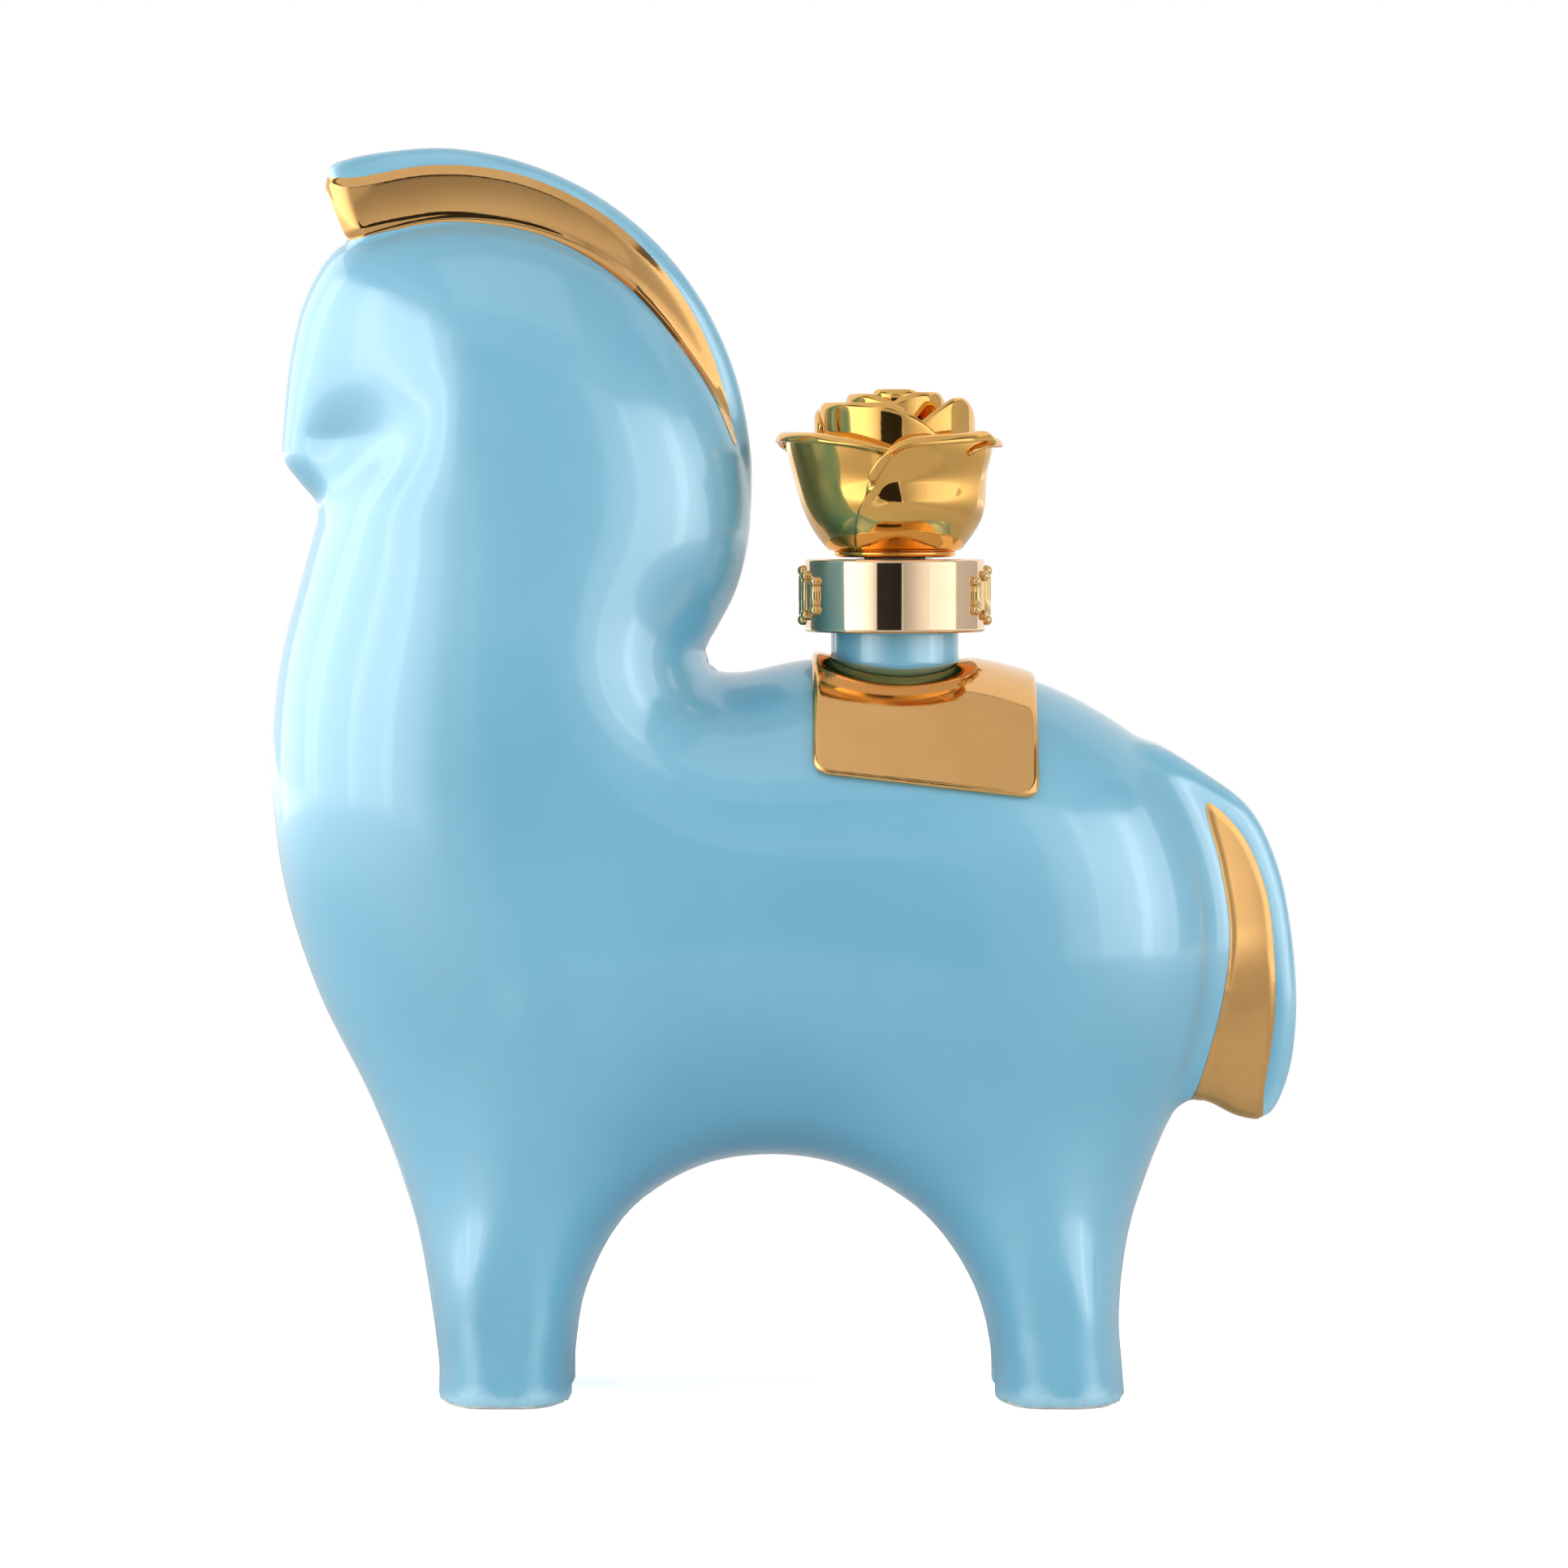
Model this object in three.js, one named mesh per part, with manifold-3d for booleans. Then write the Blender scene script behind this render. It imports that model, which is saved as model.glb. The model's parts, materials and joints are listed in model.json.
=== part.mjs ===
// A ceramic spirit bottle in the shape of a standing horse: a hollow glazed shell with gilded mane, saddle
// and tail, a lined neck in the saddle, a cast collar, and a rose-headed stopper with three seal rings.
// Millimetres, +Z up, the horse facing -X. The origin is on the floor under the middle of the bottle.
import * as THREE from "three";
import { mergeVertices } from "three/addons/utils/BufferGeometryUtils.js";
import Module from "manifold-3d";

const wasm = await Module();
wasm.setup();

// Driving dimensions

const bottleLength = 176.5; // from the chest to the tail
const bottleHeight = 214.7; // from the floor to the top of the mane
const trunkHalf = 35; // half the width of the barrel, across Y
const trunkRound = 34; // how far in from the outline the barrel's side goes on rounding
const headHalf = 25; // half the width at the top of the head
const headRound = 26;
const muzzleHalf = 14; // half the width at the nose
const muzzleRound = 12;
const legHalf = 29.5; // from the middle of the horse to the outer side of a leg
const legRound = 8;
const legTop = 62; // below this height the body turns into legs
const legFoot = 12; // and from here down it is all leg
const legGap = 18; // between the left and right legs, at the floor
const legGapHeight = 35;
const legEdge = 5; // rounding where the gap between the legs meets the legs
const footEdge = 3; // rounding round the sole of each foot
const soleDepth = 0.8; // how much of the rounded foot is ground off flat
const cheekDepth = 5.5; // hollow between the muzzle and the cheek
const wall = 5.5; // the cast wall
const cavityFloor = 49; // the legs below this are solid

const maneHalf = 7.5; // half the thickness of the mane crest
const maneEdge = 3.1; // rounding along the crest
const tailHalf = 9;
const tailEdge = 3.3;
const gilding = 0.7; // thickness of a gilded layer
const saddleRise = 1.2; // thickness of the gilded saddle
const saddleLength = 38.5; // along the back
const saddleDrop = 18.5; // from the crown of the back to the front lower corner of the saddle
const saddleSlope = 4.5; // how much lower the rear lower corner is
const saddleLip = 1.3; // saddle left in front of the well
const wellRadius = 13; // the sunk ring that the neck stands in
const wellDepth = 2.6;

const neckX = 19.1; // the axis of the neck, ahead of the origin of the outlines
const neckRadius = 11;
const neckFlare = 1.4; // swell at the foot of the neck
const neckShow = 4.8; // neck left bare between the back and the collar
const neckSpigot = 2.4; // how far the neck goes into the hole in the back
const holeRadius = 9.4; // the hole in the back that the neck is luted into
const boreRadius = 8;
const linerWall = 1;
const linerLength = 17;
const linerFlange = 1; // thickness of the liner's flange on the lip
const flangeInset = 0.8; // the flange stops this short of the neck's outside

const collarRadius = 14.6;
const collarHeight = 12.6;
const collarPlate = 1.8; // thickness of the collar's top
const collarEdge = 0.8; // rounding of the collar's edges
const ornamentHeight = 10.4;
const ornamentWidth = 15.6; // round the collar
const ornamentRise = 1.9; // how far the ornament stands off the collar
const ornamentSides = 2; // flutes on each side of the middle one
const ornamentStep = 0.9; // how much shorter each flute is at each end than the one next to the middle
const fluteRadius = 0.8;
const beadRadius = 0.95;

const shankRadius = 5.3;
const shankLength = 18.5; // below the collar's top
const bossHeight = 5; // above the collar's top, inside the rose
const sealSection = 1.3; // radius of a seal ring's round section
const sealPitch = 4.6;
const sealStart = 6.2; // from the collar's top to the middle of the first ring
const sealNames = ["upper", "middle", "lower"];

const roseFootRadius = 10.5; // the ring under the cup
const roseFootHeight = 1.6;
const cupHeight = 19.6; // from the foot's top to the rim
const cupWaist = 11.2; // at the foot's top
const cupRadius = 17.8; // at the rim, before the petals curl out
const cupBelly = 0.8; // the lower, the fuller the cup's side
const cupWall = 1.5;
const cupFloor = 9; // from the foot's underside to the floor inside the cup
const cupPetals = 5;
const petalStep = 0.9; // how far one petal stands off the next where they overlap
const rimCurl = 1.9; // how far the rim curls outwards
const rimWave = 1.1; // how far the rim rises in the middle of a petal
const budRadius = 13.2;
const budHeight = 20.3; // from the cup's floor to the top of the bud
const budStud = 3; // radius of the peg under the bud
const budStudLength = 2.2;
const budPetal = 1.3; // thickness of a bud petal at its rim
const petalTuck = 0.12; // share of a petal that is tucked under the next

const fit = 0.3; // gap left round a piece that is glued, pressed or seated in another
const bodyCell = 8.6; // facet size on the horse
const cavityCell = 13;
const crestCell = 4.8; // facet size on the mane and the tail
const roundSides = 24;

// Outlines, seen from the horse's left side as [x, z], drawn at this size and brought to the bottle's own

const drawn = { length: 176.5, height: 214.7 };
const alongX = (x) => (x * bottleLength) / drawn.length;
const upZ = (z) => (z * bottleHeight) / drawn.height;
const bodyPoints = [
  [-71, 200.5], [-77.5, 197], [-82.4, 189], [-84.8, 180], [-86.2, 168], [-86.3, 161.5], [-83.4, 157.3],
  [-80.4, 153.2], [-82.3, 144], [-86.7, 127], [-88.3, 109], [-86.4, 89], [-80.5, 70], [-71.2, 51],
  [-65.1, 35], [-61.7, 19], [-60, 6], [-59.2, -12], [-36.4, -12], [-35.5, 6], [-33, 19.5],
  [-25.7, 32.3], [-14.6, 39.4], [-2, 41.4], [10.6, 39.3], [22.9, 32], [31.8, 19.5], [35.2, 6], [36.2, -12],
  [59.4, -12], [59, 4], [58.3, 15.5], [60.7, 32], [66, 46.4], [71.8, 56.6], [75.3, 74], [74, 91],
  [66.5, 108], [52, 119.2], [36, 125.2], [19, 126.8], [4, 126.8], [-8, 124.6], [-12.4, 125.3],
  [-13.6, 128.2], [-11.4, 132.6], [-8.2, 139], [-5.8, 150], [-7, 163], [-14.5, 179], [-27, 194], [-42, 201.5], [-57.5, 203.2],
];
const manePoints = [
  [-74, 198], [-78.6, 209.6], [-78, 211.7], [-75.5, 212.8], [-67, 214.3], [-57, 214.7], [-45, 212.4],
  [-32.6, 206.9], [-21.9, 198.5], [-13.8, 188], [-8.4, 176], [-5.8, 163], [-5.4, 152],
  [-13, 152], [-18, 166], [-27, 180], [-40, 191], [-56, 195], [-70, 192.5],
];
const maneGiltPoints = [
  [-86, 208.4], [-73, 209.7], [-62, 211.6], [-52, 211.4], [-42, 209], [-30, 202.6], [-19, 191.6],
  [-12.4, 179.5], [-8.8, 164], [-20, 160], [-40, 184], [-64, 195.5], [-86, 198.2],
];
const tailPoints = [
  [62, 112], [74, 106.3], [80.4, 101], [85, 91.5], [87.6, 78], [88.2, 65], [86.6, 54.5], [83.2, 48.4],
  [78.5, 48.6], [72.5, 51.4], [66, 52], [61, 60], [66, 80], [58, 100],
];
const tailGiltPoints = [
  [72.6, 102.4], [78.2, 97.6], [82.6, 88.1], [84.3, 76], [84.3, 65], [82.6, 53], [81, 42],
  [67.5, 43], [71.2, 53.8], [75.2, 68], [76.6, 80], [75, 91.3],
];

// Solids and outlines

function solid(geometry) {
  const bare = geometry.clone();
  for (const name of Object.keys(bare.attributes)) if (name !== "position") bare.deleteAttribute(name);
  const merged = mergeVertices(bare, 1e-4);
  const index = merged.index.array;
  const triangles = [];
  for (let i = 0; i < index.length; i += 3) {
    const [a, b, c] = index.slice(i, i + 3);
    if (a !== b && b !== c && c !== a) triangles.push(a, b, c);
  }
  const vertProperties = merged.attributes.position.array;
  return new wasm.Manifold(new wasm.Mesh({ numProp: 3, vertProperties, triVerts: new Uint32Array(triangles) }));
}

function geometryOf(made) {
  const { vertProperties, triVerts } = made.getMesh();
  const geometry = new THREE.BufferGeometry();
  geometry.setAttribute("position", new THREE.BufferAttribute(vertProperties, 3));
  geometry.setIndex(new THREE.BufferAttribute(triVerts, 1));
  return geometry;
}

// A smooth closed outline through the points, with `steps` points to each span, drawn in by `inset`.
function outline(points, steps, inset = 0) {
  const through = points.map(([x, z]) => new THREE.Vector3(alongX(x), upZ(z), 0));
  const curve = new THREE.CatmullRomCurve3(through, true, "centripetal");
  const inward = THREE.ShapeUtils.isClockWise(through) ? -inset : inset;
  return Array.from({ length: points.length * steps }, (_, i) => {
    const at = curve.getPoint(i / (points.length * steps));
    const along = curve.getTangent(i / (points.length * steps));
    return new THREE.Vector2(at.x - along.y * inward, at.y + along.x * inward);
  });
}

// An upright plate of that outline, centred on the middle of the horse.
function plate(flat, half) {
  const geometry = new THREE.ExtrudeGeometry(new THREE.Shape(flat), { depth: 2 * half, bevelEnabled: false });
  return solid(geometry.translate(0, 0, -half).rotateX(Math.PI / 2));
}

// A turned piece from its half profile, given as [radius, height].
function turned(profile, sides = roundSides) {
  const points = profile.map(([r, z]) => new THREE.Vector2(r, z));
  return solid(new THREE.LatheGeometry(points, sides).rotateX(Math.PI / 2));
}

function rod(radius, low, high, sides = roundSides) {
  return turned([[0, low], [radius, low], [radius, high], [0, high]], sides);
}

// The horse's body: the outline blown up like a cushion

const smoothstep = (low, high, value) => THREE.MathUtils.smoothstep(value, low, high);
const mix = THREE.MathUtils.lerp;

// The lower of two distances, with the edge between them rounded to that radius.
function softMin(a, b, radius) {
  const share = Math.max(radius - Math.abs(a - b), 0) / radius;
  return Math.min(a, b) - (share * share * radius) / 4;
}

// A smooth stand-in for the distance from (x, z) to an outline, positive inside it. It sums the outline's
// segments by the inverse cube of their distance, so it has no crease half way between two sides.
function depthInOutline(flat, x, z) {
  let sum = 0;
  let inside = false;
  for (let i = 0, j = flat.length - 1; i < flat.length; j = i++) {
    const a = flat[j];
    const b = flat[i];
    const length = Math.sqrt((b.x - a.x) ** 2 + (b.y - a.y) ** 2);
    const alongX = (b.x - a.x) / length;
    const alongZ = (b.y - a.y) / length;
    const start = (a.x - x) * alongX + (a.y - z) * alongZ;
    const off = (a.x - x) * alongZ - (a.y - z) * alongX;
    const square = off * off + 1e-6;
    const end = start + length;
    sum += (end / Math.sqrt(square + end * end) - start / Math.sqrt(square + start * start)) / square;
    if (a.y > z !== b.y > z && x < a.x + ((z - a.y) * (b.x - a.x)) / (b.y - a.y)) inside = !inside;
  }
  return (inside ? 1 : -1) * Math.sqrt(2 / sum);
}

const bodyOutline = outline(bodyPoints, 4);
const headBase = upZ(118); // the neck narrows from here up to the top of the head
const headTop = upZ(205);
const throat = { low: upZ(150), high: upZ(166) }; // the muzzle starts between these heights
const face = { back: alongX(-54), front: alongX(-86) }; // and narrows along here
const cheek = { x: alongX(-75.6), z: upZ(166), long: 12, short: 6.6, tilt: 0.8 };

// The square of the body's half width at (x, z), `inset` in from its skin.
function halfWidthSquared(x, z, inset) {
  const legs = 1 - smoothstep(legFoot, legTop, z);
  const head = smoothstep(headBase, headTop, z);
  const muzzle = smoothstep(throat.low, throat.high, z) * (1 - smoothstep(face.front, face.back, x));
  const half = mix(mix(mix(trunkHalf, headHalf, head), muzzleHalf, muzzle), legHalf, legs) - inset;
  const round = mix(mix(mix(trunkRound, headRound, head), muzzleRound, muzzle), legRound, legs);
  const share = Math.min((depthInOutline(bodyOutline, x, z) - inset) / round, 1);
  const along = (x - cheek.x) * Math.cos(cheek.tilt) + (z - cheek.z) * Math.sin(cheek.tilt);
  const across = (z - cheek.z) * Math.cos(cheek.tilt) - (x - cheek.x) * Math.sin(cheek.tilt);
  const hollow = cheekDepth * Math.exp(-((along / cheek.long) ** 2) - (across / cheek.short) ** 2);
  const full = half * half * share * (2 - share);
  return full > 0 ? full * (1 - hollow / half) ** 2 : full;
}

// About how far inside the horse's skin a point is, or inside a surface `inset` from it. Negative is outside.
function depthInBody(x, y, z, inset = 0) {
  const step = 0.05;
  const square = halfWidthSquared(x, z, inset);
  const slopeX = (halfWidthSquared(x + step, z, inset) - square) / step;
  const slopeZ = (halfWidthSquared(x, z + step, inset) - square) / step;
  const cushion = (square - y * y) / (Math.hypot(slopeX, slopeZ, 2 * y) + 1e-3);
  const rise = Math.max(z, 0) / legGapHeight;
  const between = rise < 1 ? (legGap / 2) * Math.sqrt(1 - rise * rise) : -(rise - 1) * legGapHeight;
  const standing = softMin(cushion, Math.abs(y) - between - inset, legEdge);
  return softMin(standing, z + soleDepth - inset, footEdge);
}

// Where the corners of a square of samples are in and out by turns, the skin would pinch to a line there, so
// the corner nearest to the surface changes sides.
function unpinch(values, count, at) {
  for (let changed = true; changed; ) {
    changed = false;
    for (let i = 0; i < count[0]; i++)
      for (let j = 0; j < count[1]; j++)
        for (let k = 0; k < count[2]; k++)
          for (const [u, v] of [[0, 1], [1, 2], [2, 0]]) {
            const corners = [[0, 0], [1, 0], [1, 1], [0, 1]].map(([p, q]) => {
              const corner = [i, j, k];
              corner[u] += p;
              corner[v] += q;
              return corner;
            });
            if (corners.some((corner) => corner.some((n, axis) => n >= count[axis]))) continue;
            const keys = corners.map((corner) => at(...corner));
            const [a, b, c, d] = keys.map((key) => values[key] > 0);
            if (a !== c || b !== d || a === b) continue;
            const weakest = keys.reduce((m, n) => (Math.abs(values[n]) < Math.abs(values[m]) ? n : m));
            values[weakest] = -Math.sign(values[weakest] || -1) * 1e-3;
            changed = true;
          }
  }
}

// Evenly spaced places from `low` to `high`, and two more past each end.
function even(low, high, cell) {
  const count = Math.ceil((high - low) / cell) + 5;
  const middle = (low + high) / 2;
  return Array.from({ length: count }, (_, i) => middle + (i - (count - 1) / 2) * cell);
}

// Places up from the floor, close together at the feet and `cell` apart above the legs.
function upFromFloor(high, cell) {
  const places = [-2 * footEdge, -footEdge, -0.4];
  for (let step = footEdge / 2; places.at(-1) < high + 2 * cell; step = Math.min(step * 1.3, cell))
    places.push(places.at(-1) + step);
  return places;
}

// The closed skin where a field is zero, in quads between the places in `ticks` along X, Y and Z, each point
// pulled on to the surface and then pushed out by `grow`, so that skins of one field lie facet over facet.
function skin(field, ticks, grow = 0) {
  const count = ticks.map((along) => along.length);
  const at = (i, j, k) => (i * count[1] + j) * count[2] + k;
  const values = new Float64Array(count[0] * count[1] * count[2]);
  for (let i = 0; i < count[0]; i++)
    for (let j = 0; j < count[1]; j++)
      for (let k = 0; k < count[2]; k++)
        values[at(i, j, k)] = field(ticks[0][i], ticks[1][j], ticks[2][k]);
  unpinch(values, count, at);
  const positions = [];
  const vertexOf = new Map();
  const vertex = (i, j, k) => {
    const key = at(i, j, k);
    if (vertexOf.has(key)) return vertexOf.get(key);
    const sum = [0, 0, 0];
    let crossings = 0;
    for (let axis = 0; axis < 3; axis++)
      for (let corner = 0; corner < 4; corner++) {
        const from = [i, j, k];
        from[(axis + 1) % 3] += corner & 1;
        from[(axis + 2) % 3] += corner >> 1;
        const to = from.slice();
        to[axis] += 1;
        const a = values[at(...from)];
        const b = values[at(...to)];
        if (a > 0 === b > 0) continue;
        crossings += 1;
        from.forEach((v, n) => (sum[n] += mix(ticks[n][v], ticks[n][to[n]], a / (a - b))));
      }
    const point = new THREE.Vector3(...sum.map((v) => v / crossings));
    const slope = new THREE.Vector3();
    for (let pull = 0; pull < 3; pull++) {
      const here = field(...point);
      const step = 0.05;
      slope.set(field(point.x + step, point.y, point.z), field(point.x, point.y + step, point.z),
        field(point.x, point.y, point.z + step)).subScalar(here).divideScalar(step);
      const away = pull < 2 ? here / Math.max(slope.lengthSq(), 1e-6) : grow / Math.max(slope.length(), 1e-6);
      point.addScaledVector(slope, -THREE.MathUtils.clamp(away, -wall / 3, wall / 3));
    }
    positions.push(...point);
    vertexOf.set(key, positions.length / 3 - 1);
    return positions.length / 3 - 1;
  };
  const faces = [];
  for (let i = 1; i < count[0] - 1; i++)
    for (let j = 1; j < count[1] - 1; j++)
      for (let k = 1; k < count[2] - 1; k++)
        for (let axis = 0; axis < 3; axis++) {
          const to = [i, j, k];
          to[axis] += 1;
          const inside = values[at(i, j, k)] > 0;
          if (inside === values[at(...to)] > 0) continue;
          const ring = [[0, 0], [1, 0], [1, 1], [0, 1]].map(([p, q]) => {
            const cellAt = [i, j, k];
            cellAt[(axis + 1) % 3] -= p;
            cellAt[(axis + 2) % 3] -= q;
            return vertex(...cellAt);
          });
          if (!inside) ring.reverse();
          faces.push(ring[0], ring[1], ring[2], ring[0], ring[2], ring[3]);
        }
  const geometry = new THREE.BufferGeometry();
  geometry.setAttribute("position", new THREE.Float32BufferAttribute(positions, 3));
  geometry.setIndex(faces);
  return solid(geometry);
}

const bodyBox = new THREE.Box2().setFromPoints(bodyOutline);
const bodyLength = [bodyBox.min.x, bodyBox.max.x];
const bodyWidth = [-trunkHalf, trunkHalf];
const bodyRows = upFromFloor(bodyBox.max.y, bodyCell);
const bodyTicks = [even(...bodyLength, bodyCell), even(...bodyWidth, bodyCell), bodyRows];
const cavityTicks = [bodyLength, bodyWidth, [0, bodyBox.max.y]].map((span) => even(...span, cavityCell));
const bodySkin = (grow) => skin((x, y, z) => depthInBody(x, y, z), bodyTicks, grow);
const hollow = (x, y, z) => softMin(depthInBody(x, y, z, wall), z - cavityFloor, wall);

const body = bodySkin(0);
const bodyWithGap = bodySkin(fit);
const cavity = skin(hollow, cavityTicks);

// The height of the back's middle line above the floor, at the neck.
function backHeight() {
  let height = legTop;
  while (depthInOutline(bodyOutline, neckX, height) > 0) height += 0.05;
  return height;
}

// Levels up the neck, from the back to the top of the collar
const crown = backHeight();
const collarBase = crown + neckShow;
const collarTop = collarBase + collarHeight;
const linerTop = collarTop - collarPlate - fit;
const lip = linerTop - linerFlange - fit;
const wellFloor = crown - wellDepth;
const linerOuter = boreRadius - fit;
const linerInner = linerOuter - linerWall;

// A turned piece goes on the neck's axis.
const onNeck = (made) => made.translate([neckX, 0, 0]);

// Gilded panels: a layer let into the crest of the mane or the tail

function crest(points, half, edge, giltPoints) {
  const flat = outline(points, 4);
  const box = new THREE.Box2().setFromPoints(flat);
  const spans = [[box.min.x, box.max.x], [-half, half], [box.min.y, box.max.y]];
  const ticks = spans.map((span) => even(...span, crestCell));
  const depth = (x, y, z) => {
    const edgewise = depthInOutline(flat, x, z);
    const sideways = half - Math.abs(y);
    const round = edge - Math.hypot(edge - edgewise, edge - sideways);
    return edgewise < edge && sideways < edge ? round : Math.min(edgewise, sideways);
  };
  const inFrom = (inset) => skin(depth, ticks, -inset);
  const whole = inFrom(0);
  const panel = plate(outline(giltPoints, 3, fit), half + edge);
  const opening = plate(outline(giltPoints, 3), half + edge);
  return {
    ceramic: whole.subtract(opening.subtract(inFrom(gilding + fit))),
    gilt: whole.intersect(panel).subtract(inFrom(gilding)),
  };
}

const mane = crest(manePoints, maneHalf, maneEdge, maneGiltPoints);
const tail = crest(tailPoints, tailHalf, tailEdge, tailGiltPoints);

function maneGilding() {
  return mane.gilt.subtract(bodyWithGap);
}

function tailGilding() {
  return tail.gilt.subtract(bodyWithGap);
}

// The saddle lies on the back, with a hole for the well.
function saddleGilding() {
  const front = neckX - wellRadius - saddleLip;
  const rear = front + saddleLength;
  const top = crown + 3 * saddleRise;
  const low = crown - saddleDrop;
  const flap = [[front, low], [rear, low - saddleSlope], [rear, top], [front, top]];
  const prism = plate(flap.map(([x, z]) => new THREE.Vector2(x, z)), trunkHalf + wall);
  const outer = bodySkin(fit + saddleRise);
  const hole = onNeck(rod(wellRadius, wellFloor - saddleDrop, top + fit));
  return prism.intersect(outer).subtract(bodyWithGap).subtract(hole);
}

// The casting: body and crests in one, hollow, with ground feet and a hole in the back for the neck.
function bottleShell() {
  const well = rod(wellRadius, wellFloor, crown + wellDepth);
  const hole = rod(holeRadius, wellFloor - 2 * wall, crown);
  const room = bodyBox.max.y;
  const floor = solid(new THREE.BoxGeometry(2 * room, 2 * room, room).translate(0, 0, -room / 2));
  const outside = body.subtract(onNeck(well)).add(mane.ceramic).add(tail.ceramic);
  return outside.subtract(cavity).subtract(onNeck(hole)).subtract(floor);
}

// The mouth

// The neck is cast alone, flared at its foot, and luted into the well before the glaze goes on.
function bottleNeck() {
  const seat = wellFloor + fit;
  const flareTop = seat + neckFlare + 1;
  const spigot = holeRadius - fit;
  return turned([
    [boreRadius, wellFloor - neckSpigot], [spigot, wellFloor - neckSpigot], [spigot, seat],
    [neckRadius + neckFlare, seat], [neckRadius + neckFlare / 3, mix(seat, flareTop, 0.4)],
    [neckRadius, flareTop], [neckRadius, lip], [boreRadius, lip], [boreRadius, wellFloor - neckSpigot],
  ]);
}

function mouthLiner() {
  const flange = neckRadius - flangeInset;
  const low = linerTop - linerFlange - linerLength;
  return turned([
    [linerInner, low], [linerOuter, low], [linerOuter, linerTop - linerFlange],
    [flange, linerTop - linerFlange], [flange, linerTop], [linerInner, linerTop], [linerInner, low],
  ]);
}

function neckCollar() {
  const bore = neckRadius + fit;
  const under = collarTop - collarPlate;
  return turned([
    [bore, collarBase], [collarRadius - collarEdge, collarBase], [collarRadius, collarBase + collarEdge],
    [collarRadius, collarTop - collarEdge], [collarRadius - collarEdge, collarTop], [linerInner, collarTop],
    [linerInner, under], [bore, under], [bore, collarBase],
  ], 1.5 * roundSides);
}

// A cast ornament on the collar's side: upright flutes on a backing strip, longest in the middle, each with a
// bead at both ends.
function collarOrnament() {
  const middle = collarBase + collarHeight / 2;
  const seat = collarRadius + fit;
  const spread = ornamentWidth / 2 / seat;
  const low = ornamentHeight / 2 - beadRadius - ornamentSides * ornamentStep;
  const strip = new THREE.Shape();
  strip.absarc(0, 0, seat + ornamentRise / 2, -spread, spread, false);
  strip.absarc(0, 0, seat, spread, -spread, true);
  const backing = new THREE.ExtrudeGeometry(strip, { depth: 2 * low, bevelEnabled: false, curveSegments: 8 });
  const proud = seat + ornamentRise - beadRadius;
  let made = solid(backing.translate(0, 0, middle - low));
  for (let order = -ornamentSides; order <= ornamentSides; order++) {
    const turn = (order / ornamentSides) * (spread - beadRadius / seat);
    const reach = low + (ornamentSides - Math.abs(order)) * ornamentStep;
    const out = [proud * Math.cos(turn), proud * Math.sin(turn)];
    const flute = new THREE.CapsuleGeometry(fluteRadius, 2 * (reach - beadRadius / 2 - fluteRadius), 1, 6);
    made = made.add(solid(flute.rotateX(Math.PI / 2).translate(...out, middle)));
    for (const end of [-1, 1]) {
      const bead = new THREE.SphereGeometry(beadRadius, 6, 3).rotateX(Math.PI / 2);
      made = made.add(solid(bead.translate(...out, middle + end * reach)));
    }
  }
  return made;
}

// The stopper

const footBase = collarTop + fit;
const cupInside = cupRadius - 1.7 * cupWall;
const bossRadius = shankRadius;

function plugCore() {
  const groove = linerInner - fit - 2 * sealSection - fit;
  const open = sealSection + fit;
  const top = collarTop + bossHeight;
  const end = collarTop - shankLength;
  const profile = [[0, end], [shankRadius - 1, end], [shankRadius, end + 1]];
  for (const ring of [2, 1, 0]) {
    const middle = collarTop - sealStart - ring * sealPitch;
    profile.push([shankRadius, middle - open], [groove, middle - open]);
    profile.push([groove, middle + open], [shankRadius, middle + open]);
  }
  profile.push([bossRadius, top], [0, top]);
  return turned(profile);
}

function sealRing(order) {
  const middle = collarTop - sealStart - order * sealPitch;
  const centre = linerInner - fit - sealSection;
  const ring = new THREE.TorusGeometry(centre, sealSection, 6, roundSides);
  return solid(ring.translate(0, 0, middle));
}

// A turned form whose points are waved round the axis into petals. `wave(turn, share)` gives what to add to
// the radius and the height of the profile point that is `share` of the way along it.
function petalled(profile, sides, wave) {
  const positions = [];
  const faces = [];
  const rows = profile.length;
  for (let side = 0; side < sides; side++) {
    const turn = (side / sides) * 2 * Math.PI;
    profile.forEach(([radius, height, sway], row) => {
      const [out, up] = wave(turn, row / (rows - 1));
      const r = radius + sway * out;
      positions.push(r * Math.cos(turn), r * Math.sin(turn), height + sway * up);
    });
  }
  for (let side = 0; side < sides; side++) {
    const next = (side + 1) % sides;
    for (let row = 0; row < rows - 1; row++) {
      const [a, b] = [side * rows + row, next * rows + row];
      faces.push(a, b, b + 1, a, b + 1, a + 1);
    }
  }
  const geometry = new THREE.BufferGeometry();
  geometry.setAttribute("position", new THREE.Float32BufferAttribute(positions, 3));
  geometry.setIndex(faces);
  return solid(geometry);
}

// How far round its petal a turn is, from 0 where the petal is tucked in to 1 at its free edge.
function petalShare(turn, petals, phase) {
  const share = ((turn / (2 * Math.PI)) * petals + phase) % 1;
  return share < 0 ? share + 1 : share;
}

function petalWave(petals, phase, slant, step, rise) {
  return (turn, share) => {
    const along = petalShare(turn, petals, phase + slant * share);
    const tuck = along > 1 - petalTuck ? (1 - along) / petalTuck : along / (1 - petalTuck);
    return [step * (tuck - 0.5), rise * (Math.sin(Math.PI * along) - 0.5)];
  };
}

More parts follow.
